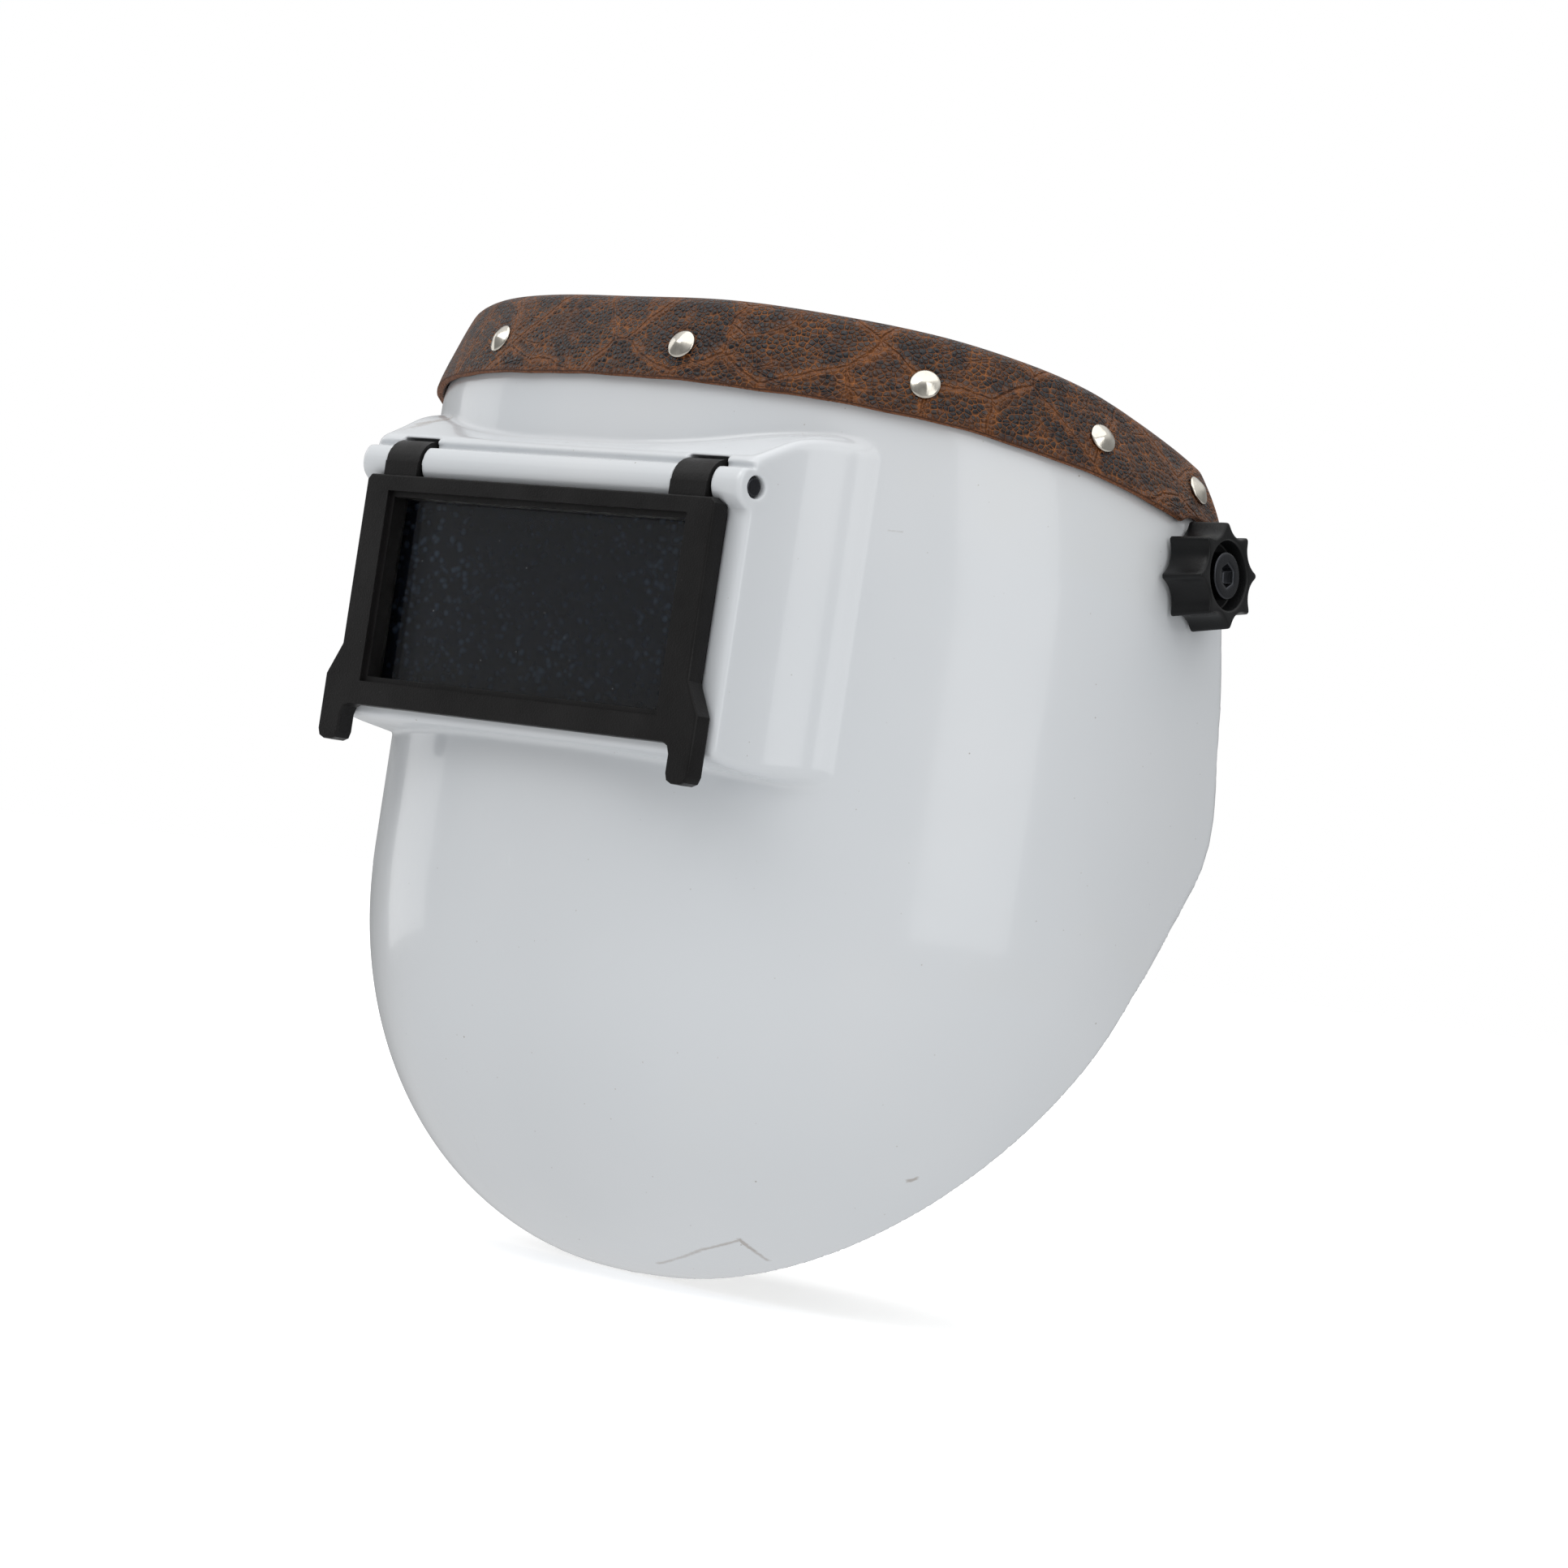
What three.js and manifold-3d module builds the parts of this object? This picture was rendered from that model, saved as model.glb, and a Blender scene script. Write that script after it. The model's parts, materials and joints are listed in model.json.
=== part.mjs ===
// Chopped-crown welding helmet with a lift front: fibreglass shell, leather crown band,
// lift front with its lens stack, side tension knobs and a ratchet headgear.
// Millimetres, +Z up, the face looks along -Y, wearer's left is +X.
// Origin: middle of the tilt axis, on the wearer's head.
import * as THREE from "three";
import { mergeVertices } from "three/addons/utils/BufferGeometryUtils.js";
import Module from "manifold-3d";

const wasm = await Module();
wasm.setup();

// ---- driving dimensions (window frame: x across, y back from the lift front, z up from the window centre) ----
const AXIS_Y = 103.18, AXIS_Z = 26.45; // tilt axis, parallel to X
const WALL = 2.6; // shell wall
const PLAN_C = 70; // centre of the polar plan curve
const PLAN_STEP = 5;
const PLAN_R = [60.67, 60.91, 61.59, 62.63, 63.98, 65.57, 67.35, 69.28, 71.33, 73.47, 75.77, 78.3, 81.14, 84.33,
  87.81, 91.45, 95.16, 99.1, 102.75, 105.9, 108.27, 110.2, 112.1, 114.3, 117.1, 120.9, 125.5, 130.8, 136.4];
const CHIN_Z = -58.8, CHIN_H = 89.7, CHIN_Y = 67, CHIN_EXP = 2.1;
const LEAN = 8.5, LEAN_H = 24, SIDE_LEAN = 0.0018;
const BAND_H = 19.9, BAND_T = 2.0; // leather band height and thickness
const CROWN_H = 17.9; // shell rim above the band's lower edge
const WIN_X = 49, WIN_Z = 21; // half window of the lift front
const HOUSE_X = 63.5, HOUSE_Y = 4.8;
const HINGE_Y = 6.8, HINGE_Z = 29.4, BARREL_R = 5.2, PIN_R = 2.2, PIN_BORE = 2.5;
const LUG_X0 = 42.5, LUG_X1 = 54.0, LUG_R = 5.6;
const PLATE_T = 4.5; // lift front plate
const KNOB_C = [104.6, 104.3, 27.3], KNOB_YAW = 8, KNOB_PITCH = 6;
const KNOB_R = 11.85, KNOB_H = 10.1, KNOB_TURN = 7.3;
const EAR_T = 2.4;
const HB_A = 75, HB_B = 84, HB_C = 128, HB_T = 2.2; // headband half width, half length, centre, thickness
const REAR_Y = 118, REAR_A = 77.9, REAR_B = 118, REAR_W = 20, STRAP_T = 1.8;

const rad = (d) => (d * Math.PI) / 180;
const clamp = (v, a, b) => Math.min(b, Math.max(a, v));
const smooth = (a, b, v) => { const t = clamp((v - a) / (b - a), 0, 1); return t * t * (3 - 2 * t); };

// ---- solids ----
function solid(geometry) {
  const g = geometry.clone();
  g.deleteAttribute("normal");
  g.deleteAttribute("uv");
  const m = mergeVertices(g, 1e-4);
  return new wasm.Manifold(new wasm.Mesh({
    numProp: 3, vertProperties: m.attributes.position.array, triVerts: new Uint32Array(m.index.array) }));
}
function geometryOf(s) {
  const m = s.getMesh(), n = m.numProp, v = new Float32Array(m.numVert * 3);
  for (let i = 0; i < m.numVert; i++) v.set(m.vertProperties.subarray(i * n, i * n + 3), i * 3);
  const g = new THREE.BufferGeometry();
  g.setAttribute("position", new THREE.BufferAttribute(v, 3));
  g.setIndex(new THREE.BufferAttribute(new Uint32Array(m.triVerts), 1));
  g.computeVertexNormals();
  return g;
}
const box = (x0, x1, y0, y1, z0, z1) =>
  solid(new THREE.BoxGeometry(x1 - x0, y1 - y0, z1 - z0).translate((x0 + x1) / 2, (y0 + y1) / 2, (z0 + z1) / 2));
// cylinder along X
const cylX = (x0, x1, y, z, r, n = 24) =>
  solid(new THREE.CylinderGeometry(r, r, x1 - x0, n).rotateZ(Math.PI / 2).translate((x0 + x1) / 2, y, z));
// outline in x-z, extruded along Y
function plateY(points, y0, y1, bevel = 0) {
  const s = new THREE.Shape(points.map(([x, z]) => new THREE.Vector2(x, z)));
  const g = new THREE.ExtrudeGeometry(s, { depth: y1 - y0 - 2 * bevel, bevelEnabled: bevel > 0, bevelSize: bevel,
    bevelThickness: bevel, bevelOffset: -bevel, bevelSegments: 2, steps: 1 });
  return solid(g.rotateX(Math.PI / 2).translate(0, y1 - bevel, 0));
}
// outline in y-z, extruded along X
function plateX(points, x0, x1) {
  const s = new THREE.Shape(points.map(([y, z]) => new THREE.Vector2(y, z)));
  const g = new THREE.ExtrudeGeometry(s, { depth: x1 - x0, bevelEnabled: false, steps: 1 });
  const m = new THREE.Matrix4().set(0, 0, 1, x0, 1, 0, 0, 0, 0, 1, 0, 0, 0, 0, 0, 1);
  return solid(g.applyMatrix4(m));
}
// outline in x-y, extruded along Z
function plateZ(points, z0, z1) {
  const s = new THREE.Shape(points.map(([x, y]) => new THREE.Vector2(x, y)));
  return solid(new THREE.ExtrudeGeometry(s, { depth: z1 - z0, bevelEnabled: false, steps: 1 }).translate(0, 0, z0));
}
// rings of equal count, closed round and capped at both ends
function loft(rings, tip0, tip1) {
  const n = rings[0].length, pos = [], idx = [];
  rings.forEach((r) => r.forEach((p) => pos.push(...p)));
  for (let i = 0; i + 1 < rings.length; i++)
    for (let j = 0; j < n; j++) {
      const a = i * n + j, b = i * n + ((j + 1) % n), c = a + n, d = b + n;
      idx.push(a, b, d, a, d, c);
    }
  const cap = (ring, tip, flip) => {
    const t = tip || ring.reduce((s, p) => [s[0] + p[0] / n, s[1] + p[1] / n, s[2] + p[2] / n], [0, 0, 0]);
    const k = pos.length / 3, base = rings.indexOf(ring) * n;
    pos.push(...t);
    for (let j = 0; j < n; j++) {
      const a = base + j, b = base + ((j + 1) % n);
      flip ? idx.push(b, a, k) : idx.push(a, b, k);
    }
  };
  cap(rings[0], tip0, true);
  cap(rings[rings.length - 1], tip1, false);
  const build = (order) => {
    const g = new THREE.BufferGeometry();
    g.setAttribute("position", new THREE.BufferAttribute(new Float32Array(pos), 3));
    g.setIndex(order);
    return solid(g);
  };
  const s = build(idx);
  if (s.volume() > 0) return s;
  const back = [];
  for (let i = 0; i < idx.length; i += 3) back.push(idx[i], idx[i + 2], idx[i + 1]);
  return build(back);
}
// closed section swept through frames: section points are [a, b], frame(i) gives the 3-D point
function sweep(count, section, at) {
  const rings = [];
  for (let i = 0; i <= count; i++) rings.push(section(i / count).map(([a, b]) => at(i / count, a, b)));
  return loft(rings);
}
// profile of [radius, height] turned round an axis through c along dir
function turned(profile, c, dir, n = 24) {
  const g = new THREE.LatheGeometry(profile.map(([r, h]) => new THREE.Vector2(r, h)), n);
  const q = new THREE.Quaternion().setFromUnitVectors(new THREE.Vector3(0, 1, 0), new THREE.Vector3(...dir).normalize());
  g.applyMatrix4(new THREE.Matrix4().compose(new THREE.Vector3(...c), q, new THREE.Vector3(1, 1, 1)));
  let s = solid(g);
  if (s.volume() < 0) {
    const k = g.index.array, r = [];
    for (let i = 0; i < k.length; i += 3) r.push(k[i], k[i + 2], k[i + 1]);
    g.setIndex(r);
    s = solid(g);
  }
  return s;
}
const along = (c, d, t) => [c[0] + d[0] * t, c[1] + d[1] * t, c[2] + d[2] * t];
const flipX = (s) => s.mirror([1, 0, 0]);

// ---- the shell's surface ----
function planRadius(deg) {
  const t = Math.abs(deg) / PLAN_STEP, i = clamp(Math.floor(t), 0, PLAN_R.length - 2), f = t - i;
  const p1 = PLAN_R[i], p2 = PLAN_R[i + 1];
  const p0 = i ? PLAN_R[i - 1] : PLAN_R[1], p3 = i + 2 < PLAN_R.length ? PLAN_R[i + 2] : 2 * p2 - p1;
  return 0.5 * (2 * p1 + (p2 - p0) * f + (2 * p0 - 5 * p1 + 4 * p2 - p3) * f * f + (3 * p1 - p0 - 3 * p2 + p3) * f * f * f);
}
const planPoint = (deg) => { const r = planRadius(deg); return [r * Math.sin(rad(deg)), PLAN_C - r * Math.cos(rad(deg))]; };
function planNormal(deg) {
  const a = planPoint(deg - 0.2), b = planPoint(deg + 0.2), l = Math.hypot(b[0] - a[0], b[1] - a[1]);
  return [(b[1] - a[1]) / l, -(b[0] - a[0]) / l];
}
// lower edge of the leather band at a depth y
const bandZ = (y) => { const q = Math.max(y - 7, 0); return 52.6 - 0.06 * q - 0.00098 * q * q; };
const bandZAt = (deg) => bandZ(planPoint(deg)[1]);
// point on the shell, off = distance outside its outer face
function shellPoint(deg, z, off, chinH = CHIN_H) {
  const [px, py] = planPoint(deg), [nx, ny] = planNormal(deg);
  const t = clamp((z - (bandZ(py) - 3)) / LEAN_H, 0, 1.6);
  const side = smooth(68, 100, Math.abs(deg)) * SIDE_LEAN * Math.pow(clamp(z, 0, 60), 2);
  const d = off - LEAN * Math.pow(t, 1.5) - side;
  let x = px + nx * d, y = py + ny * d;
  const q = clamp((CHIN_Z - z) / chinH, 0, 1), s = Math.pow(1 - Math.pow(q, CHIN_EXP), 1 / CHIN_EXP);
  x *= s;
  y = CHIN_Y + (y - CHIN_Y) * s;
  return [x, y, z];
}
function shellVolume(off, step, top, chinH, qs) {
  const degs = [];
  for (let a = -140; a <= 140.001; a += step) degs.push(a);
  const rings = [];
  for (const q of [...qs].reverse()) rings.push(degs.map((a) => shellPoint(a, CHIN_Z - chinH * q, off, chinH)));
  for (const z of [-15]) rings.push(degs.map((a) => shellPoint(a, z, off)));
  for (const h of [-26, -12, -3, 4, 11, CROWN_H, ...(top ? [top] : [])])
    rings.push(degs.map((a) => shellPoint(a, bandZAt(a) + h, off)));
  return loft(rings, [0, CHIN_Y, CHIN_Z - chinH], null);
}
const GAP = 0.35; // clearance of the folded leather from the shell
const CHIN_Q = [0, 0.22, 0.41, 0.57, 0.71, 0.82, 0.9, 0.955, 0.99];
const shellOuter = shellVolume(0, 7, 0, CHIN_H, CHIN_Q);
const shellInner = shellVolume(-WALL, 7, CROWN_H + 8, CHIN_H - WALL, CHIN_Q);
const bandSlot = shellVolume(GAP, 7, CROWN_H + 0.5, CHIN_H, CHIN_Q).subtract(shellVolume(-WALL - GAP, 7, CROWN_H + 8, CHIN_H - WALL, CHIN_Q));

// ---- lens housing, moulded with the shell ----
const houseSide = [[HOUSE_Y, -28.4], [HOUSE_Y, 34.9], [5.5, 35.7], [11.8, 38.9], [15.5, 40.9], [18.6, 42.3], [23.4, 43.6],
  [29.7, 44.3], [34.9, 44.0], [38.4, 42.2], [39.8, 39], [39.8, -27], [37.8, -30.2], [34.6, -32.2], [31, -33],
  [21.9, -32.2], [11.7, -31.0], [6, -29.8]];
const housePlan = [[-HOUSE_X + 0.9, HOUSE_Y], [HOUSE_X - 0.9, HOUSE_Y], [HOUSE_X, HOUSE_Y + 0.9], [HOUSE_X, 18], [64.6, 23],
  [67.0, 27], [71.0, 30.6], [74.0, 34], [74.0, 41], [-74.0, 41], [-74.0, 34], [-71.0, 30.6], [-67.0, 27], [-64.6, 23],
  [-HOUSE_X, 18], [-HOUSE_X, HOUSE_Y + 0.9]];
const houseOuter = plateX(houseSide, -75, 75).intersect(plateZ(housePlan, -40, 50));
const cavSide = [[18, -28.6], [31, -30.2], [34.4, -29.4], [37, -26.5], [60, -26.5], [60, 38.6], [37, 38.6], [34.4, 41.0],
  [29.7, 41.5], [23.4, 40.8], [18, 39.0]];
const cavPlan = [[-60.9, 18], [60.9, 18], [62.0, 23.5], [64.5, 28.5], [68.6, 32.4], [71.4, 36], [71.4, 60], [-71.4, 60],
  [-71.4, 36], [-68.6, 32.4], [-64.5, 28.5], [-62.0, 23.5]];
const cavity = plateX(cavSide, -75, 75).intersect(plateZ(cavPlan, -40, 50));

// rear edge, from the crown down to the chin
const rearEdge = [[117.4, 80], [117.4, 44], [119.6, 27], [121.9, 15], [123.6, 7.9], [125.2, 0.6], [127.1, -10.4], [128.9, -18],
  [129.9, -25.1], [129.6, -31], [127.9, -37], [124.6, -42.2], [117.2, -52.2], [106.2, -67.9], [98.0, -83.5], [93.6, -91.4],
  [89.1, -99.6], [84.6, -108], [80.2, -116.7], [75.8, -125.9], [71.5, -136.2], [69.2, -142.6], [67.6, -150]];
const rearCut = plateX([...rearEdge, [67.6, -170], [200, -170], [200, 80]].reverse(), -160, 160);

const recess = box(-56.8, 56.8, 0, 15.5, -25.8, HINGE_Z);
const barrel = cylX(-HOUSE_X, HOUSE_X, HINGE_Y, HINGE_Z, BARREL_R, 24);
const block = houseOuter.intersect(box(-70, 70, 0, 18, -50, 60));
let shell = shellOuter.add(houseOuter).subtract(shellInner).subtract(cavity).add(block)
  .subtract(recess).add(barrel).subtract(rearCut)
  .subtract(box(-WIN_X - 0.5, WIN_X + 0.5, 10, 30, -WIN_Z - 0.5, WIN_Z + 0.5))
  .subtract(cylX(-70, 70, HINGE_Y, HINGE_Z, PIN_BORE, 20));
for (const s of [-1, 1]) {
  const a = s > 0 ? LUG_X0 - 0.45 : -LUG_X1 - 0.45, b = s > 0 ? LUG_X1 + 0.45 : -LUG_X0 + 0.45;
  shell = shell.subtract(cylX(a, b, HINGE_Y, HINGE_Z, LUG_R + 0.6, 24));
}
// shallow groove above the barrel
shell = shell.subtract(box(-HOUSE_X - 1, HOUSE_X + 1, 0, 5.9, 33.2, 34.3));

// ---- crown rivets ----
const rivetSpots = { L: [[25.8, 7.5], [67.5, 7.3], [91.8, 8.1], [110.6, 10.2]], R: [[29.6, 7.5], [82.5, 7.4], [97.5, 8.1], [110.6, 10.2]] };
const rivets = [];
for (const side of [1, -1])
  rivetSpots[side > 0 ? "L" : "R"].forEach(([deg, h], i) => {
    const a = deg * side, z = bandZAt(a) + h;
    const p = shellPoint(a, z, 0), e = 0.4;
    const u = shellPoint(a + e, z, 0), v = shellPoint(a, z + e, 0);
    const du = new THREE.Vector3(u[0] - p[0], u[1] - p[1], u[2] - p[2]);
    const dv = new THREE.Vector3(v[0] - p[0], v[1] - p[1], v[2] - p[2]);
    const n = du.cross(dv).normalize();
    if (n.x * side < 0 && Math.abs(deg) > 40) n.negate();
    if (n.y > 0 && Math.abs(deg) <= 40) n.negate();
    rivets.push({ name: "crown_rivet_" + (side > 0 ? "L" : "R") + (i + 1), p, n: [n.x, n.y, n.z] });
  });

// ---- knob axes ----
const kn = [Math.cos(rad(KNOB_YAW)) * Math.cos(rad(KNOB_PITCH)), Math.sin(rad(KNOB_YAW)) * Math.cos(rad(KNOB_PITCH)),
  Math.sin(rad(KNOB_PITCH))];
const PU = 8.1; // from the ear's middle to the shell's outer face along the knob axis
const kp = along(KNOB_C, kn, -PU);
for (const s of [1, -1]) {
  const hole = turned([[0, -3], [3.6, -3], [3.6, PU + 4], [0, PU + 4]], kp, kn, 24);
  shell = shell.subtract(s > 0 ? hole : flipX(hole));
}
for (const r of rivets) shell = shell.subtract(turned([[0, -6], [1.5, -6], [1.5, 4], [0, 4]], r.p, r.n, 8));

// ---- leather band folded over the rim ----
const BAND_END = 116.4;
function bandAt(u, off, h) {
  const a = -119 + 238 * u;
  return shellPoint(a, bandZAt(a) + h, off);
}
let leather = sweep(34, () => {
  const o = 0.35, t = BAND_T, i = -WALL - 0.35;
  return [[o, 0], [o + t, 0], [o + t, 4], [o + t, 11], [o + t, 17], [o + t - 1.0, BAND_H - 0.4],
    [-1.3, BAND_H + 0.25], [i - t + 1.0, BAND_H - 0.4], [i - t, 17], [i - t, 11], [-1.3, 11], [-1.3, 4], [-1.3, 0]];
}, bandAt);
leather = leather.subtract(bandSlot).subtract(box(-160, 160, BAND_END, 300, 0, 120));
for (const s of [1, -1]) {
  const clear = turned([[0, 7], [13.0, 7], [13.0, 30], [0, 30]], kp, kn, 32);
  leather = leather.subtract(s > 0 ? clear : flipX(clear));
}
for (const r of rivets) leather = leather.subtract(turned([[0, -8], [1.5, -8], [1.5, 6], [0, 6]], r.p, r.n, 8));

// ---- lift front ----
const legZ = -36.5;
const half = [[58.4, 26 - 1.2], [58.4, -14], [62.7, -21.3], [62.7, legZ + 2.2], [62.0, legZ + 0.6], [60.5, legZ], [57.6, legZ],
  [56.1, legZ + 0.6], [55.5, legZ + 2.2], [55.5, -30.2], [54.8, -28.5], [53.2, -27.8]];
const frameOutline = [[57.2, 26], ...half, ...half.map(([x, z]) => [-x, z]).reverse(), [-57.2, 26]].reverse();
let frame = plateY(frameOutline, 0, PLATE_T, 0.5);
const pocket = box(-55.4, 55.4, PLATE_T - 1, 13.2, -25.3, 23.4).subtract(box(-53.7, 53.7, PLATE_T, 20, -23.9, 40))
  .subtract(box(-53.7, 53.7, PLATE_T - 2, 20, 10, 40));
frame = frame.add(pocket).subtract(box(-WIN_X, WIN_X, -1, 10, -WIN_Z, WIN_Z))
  .subtract(box(-WIN_X - 1.3, WIN_X + 1.3, -1, 1.1, -WIN_Z - 1.3, WIN_Z + 1.3));
frame = frame.subtract(cylX(-70, 70, HINGE_Y, HINGE_Z, BARREL_R + 0.45, 24));
for (const s of [-1, 1]) {
  const a = s > 0 ? LUG_X0 : -LUG_X1, b = s > 0 ? LUG_X1 : -LUG_X0;
  frame = frame.add(cylX(a, b, HINGE_Y, HINGE_Z, LUG_R, 24)
    .add(box(a, b, 1.0, PLATE_T - 0.2, 23.5, HINGE_Z)).subtract(box(a - 1, b + 1, 4.7, 20, 20, 23.79)));
}
frame = frame.subtract(cylX(-70, 70, HINGE_Y, HINGE_Z, PIN_BORE, 20));
const coverLens = box(-53.4, 53.4, 4.8, 6.3, -23.6, 23.3);
const ringY = (x, z, w, y0, y1, z1 = z) =>
  box(-x, x, y0, y1, -z, z1).subtract(box(-x + w, x - w, y0 - 1, y1 + 1, -z + w, z1 - w));
const lensGasket = ringY(53.2, 23.4, 2.2, 6.6, 7.6, 23.2);
const filterLens = box(-53.4, 53.4, 7.9, 11.0, -23.6, 23.2);
let lensSpring = ringY(53.2, 23.4, 2.0, 11.3, 12.3, 22.8);
const hingePin = turned([[0, -62.9], [PIN_R - 0.4, -62.9], [PIN_R, -62.5], [PIN_R, 62.5], [PIN_R - 0.4, 62.9], [0, 62.9]],
  [0, HINGE_Y, HINGE_Z], [1, 0, 0], 20);

// ---- fixed window plate behind the lift front ----
const plateGasket = ringY(54, 25.4, 2.6, 18.3, 19.1);
const safetyPlate = box(-54, 54, 19.4, 21.4, -25.4, 25.4);
const screwSpots = [[-57.6, 24], [57.6, 24], [-57.6, -24], [57.6, -24]];
let retainer = box(-60.2, 60.2, 18.3, 23.6, -27.8, 27.8)
  .subtract(box(-54.4, 54.4, 18, 21.7, -25.8, 25.8)).subtract(box(-50, 50, 18, 30, -22, 22));
for (const [x, z] of screwSpots) {
  retainer = retainer.subtract(turned([[0, -1], [1.7, -1], [1.7, 12], [0, 12]], [x, 17, z], [0, 1, 0], 12));
  shell = shell.subtract(turned([[0, -1.2], [1.5, -1.2], [1.5, 12], [0, 12]], [x, 14.9, z], [0, 1, 0], 12));
}

// ---- tension knob, its screw and washers, on the wearer's left; the right side is mirrored ----
const slope = Math.tan(rad(11.5));
const tq = new THREE.Quaternion().setFromRotationMatrix(new THREE.Matrix4().makeBasis(
  new THREE.Vector3().crossVectors(new THREE.Vector3(0, 0, 1), new THREE.Vector3(...kn)).normalize(),
  new THREE.Vector3().crossVectors(new THREE.Vector3(...kn),
    new THREE.Vector3().crossVectors(new THREE.Vector3(0, 0, 1), new THREE.Vector3(...kn)).normalize()),
  new THREE.Vector3(...kn)));
const knobFrame = new THREE.Matrix4().compose(new THREE.Vector3(...kp), tq, new THREE.Vector3(1, 1, 1));
const knobPt = (x, y, u) => { const v = new THREE.Vector3(x, y, u).applyMatrix4(knobFrame); return [v.x, v.y, v.z]; };
const lobes = [];
for (let i = 0; i < 48; i++) {
  const a = (i / 48) * 2 * Math.PI;
  lobes.push([a + rad(KNOB_TURN), KNOB_R - 2.25 + 2.25 * Math.pow(Math.abs(Math.cos(4 * a)), 2.6)]);
}
const lobeRing = (k, u) => lobes.map(([a, r]) => knobPt(Math.cos(a) * r * k, Math.sin(a) * r * k, u));
const U0 = PU + 0.45, U1 = U0 + KNOB_H;
let knob = loft([lobeRing(1.04, U0), lobeRing(1.0, U1 - 0.7), lobeRing(0.955, U1)],
  knobPt(0, 0, U0), knobPt(0, 0, U1));
knob = knob.subtract(turned([[0, U1 - 4], [7.7, U1 - 4], [7.7, U1 - 0.5], [8.2, U1 + 0.1], [8.2, U1 + 2], [0, U1 + 2]], kp, kn, 20))
  .subtract(turned([[0, U0 - 2], [8.9, U0 - 2], [8.9, U0 + 1.25], [0, U0 + 1.25]], kp, kn, 16))
  .subtract(turned([[0, U0 - 3], [3.3, U0 - 3], [3.3, U1 + 3], [0, U1 + 3]], kp, kn, 14));
const outerWasher = turned([[3.35, PU + 0.3], [8.5, PU + 0.35], [8.5, U0 + 0.95], [3.35, U0 + 0.95], [3.35, PU + 0.3]], kp, kn, 16);
let screw = turned([[0, -9.4], [2.6, -9.4], [3, -9], [3, U1 - 3.7], [5.35, U1 - 3.7], [5.35, U1 - 0.9], [4.8, U1 - 0.4], [0, U1 - 0.4]],
  kp, kn, 16);
const hexGeo = (r, h, u) => {
  const g = new THREE.CylinderGeometry(r, r, h, 6).rotateX(Math.PI / 2).translate(0, 0, u + h / 2);
  return solid(g.applyMatrix4(knobFrame));
};
screw = screw.subtract(hexGeo(2.7, 4, U1 - 2.9));
const frictionWasher = turned([[3.4, 1.5 + 3.4 * slope], [7.5, 1.5 + 7.5 * slope], [7.5, PU - WALL - 0.8], [3.4, PU - WALL - 0.8],
  [3.4, 1.5 + 3.4 * slope]], kp, kn, 16);
const innerWasher = turned([[3.4, -1.5 - 3.4 * slope], [3.4, -4.3], [6.8, -4.3], [6.8, -1.5 - 6.8 * slope], [3.4, -1.5 - 3.4 * slope]],
  kp, kn, 16);
const lockNut = hexGeo(5.8, 4, -8.6).subtract(turned([[0, -10], [3.3, -10], [3.3, 0], [0, 0]], kp, kn, 20));

// ---- headgear: forehead band, sweatband, side arms ----
const hbPoint = (t, off) => {
  const n = new THREE.Vector2(Math.sin(t) / HB_A, -Math.cos(t) / HB_B).normalize();
  return [HB_A * Math.sin(t) + n.x * off, HB_C - HB_B * Math.cos(t) + n.y * off];
};
const hbMid = (t) => AXIS_Z + 22 * Math.pow(Math.max(Math.cos(t), 0), 1.15);
const hbHalf = (t) => 9 + 5 * Math.pow(Math.max(Math.cos(t), 0), 1.5);
const T_END = rad(91);
let headband = sweep(36, () => [[-1, -1], [-1, 1], [1, 1], [1, -1]], (u, a, b) => {
  const t = -T_END + 2 * T_END * u, [x, y] = hbPoint(t, (a * HB_T) / 2);
  return [x, y, hbMid(t) + b * hbHalf(t)];
});
const T_SW = rad(58);
const sweatband = sweep(20, (u) => {
  const e = Math.min(1, Math.sin(Math.PI * clamp(u, 0.02, 0.98)) * 3.2 + 0.35);
  return [[0.25, -0.93 * e], [0, -0.7 * e], [0, 0.7 * e], [0.25, 0.93 * e], [0.75, 0.93 * e], [1, 0.6 * e], [1, -0.6 * e], [0.75, -0.93 * e]];
}, (u, a, b) => {
  const t = -T_SW + 2 * T_SW * u, [x, y] = hbPoint(t, -HB_T / 2 - 0.35 - a * 5);
  return [x, y, hbMid(t) + b * hbHalf(t)];
});
function offsetPath(path, w) {
  const side = (k) => path.map((p, i) => {
    const a = path[Math.max(i - 1, 0)], b = path[Math.min(i + 1, path.length - 1)];
    const d1 = [p[0] - a[0], p[1] - a[1]], d2 = [b[0] - p[0], b[1] - p[1]];
    const l1 = Math.hypot(...d1) || 1, l2 = Math.hypot(...d2) || 1;
    const u1 = i ? [d1[0] / l1, d1[1] / l1] : [d2[0] / l2, d2[1] / l2];
    const u2 = i + 1 < path.length ? [d2[0] / l2, d2[1] / l2] : u1;
    let n = [-(u1[1] + u2[1]), u1[0] + u2[0]];
    const l = Math.hypot(...n); n = [n[0] / l, n[1] / l];
    const c = n[0] * -u1[1] + n[1] * u1[0];
    return [p[0] + (n[0] * w * k) / c, p[1] + (n[1] * w * k) / c];
  });
  return [...side(1), ...side(-1).reverse()];
}
const armOff = HB_T / 2 + 0.35 + EAR_T / 2;
const armPath = [[kp[0], AXIS_Y + 7.5], [kp[0], AXIS_Y - 10], hbPoint(rad(69), armOff + 6), hbPoint(rad(65), armOff), hbPoint(rad(59), armOff),
  hbPoint(rad(53), armOff), hbPoint(rad(47), armOff)];
let armPoly = offsetPath(armPath, EAR_T / 2);
if (THREE.ShapeUtils.area(armPoly.map(([x, y]) => new THREE.Vector2(x, y))) < 0) armPoly = armPoly.reverse();
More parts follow.
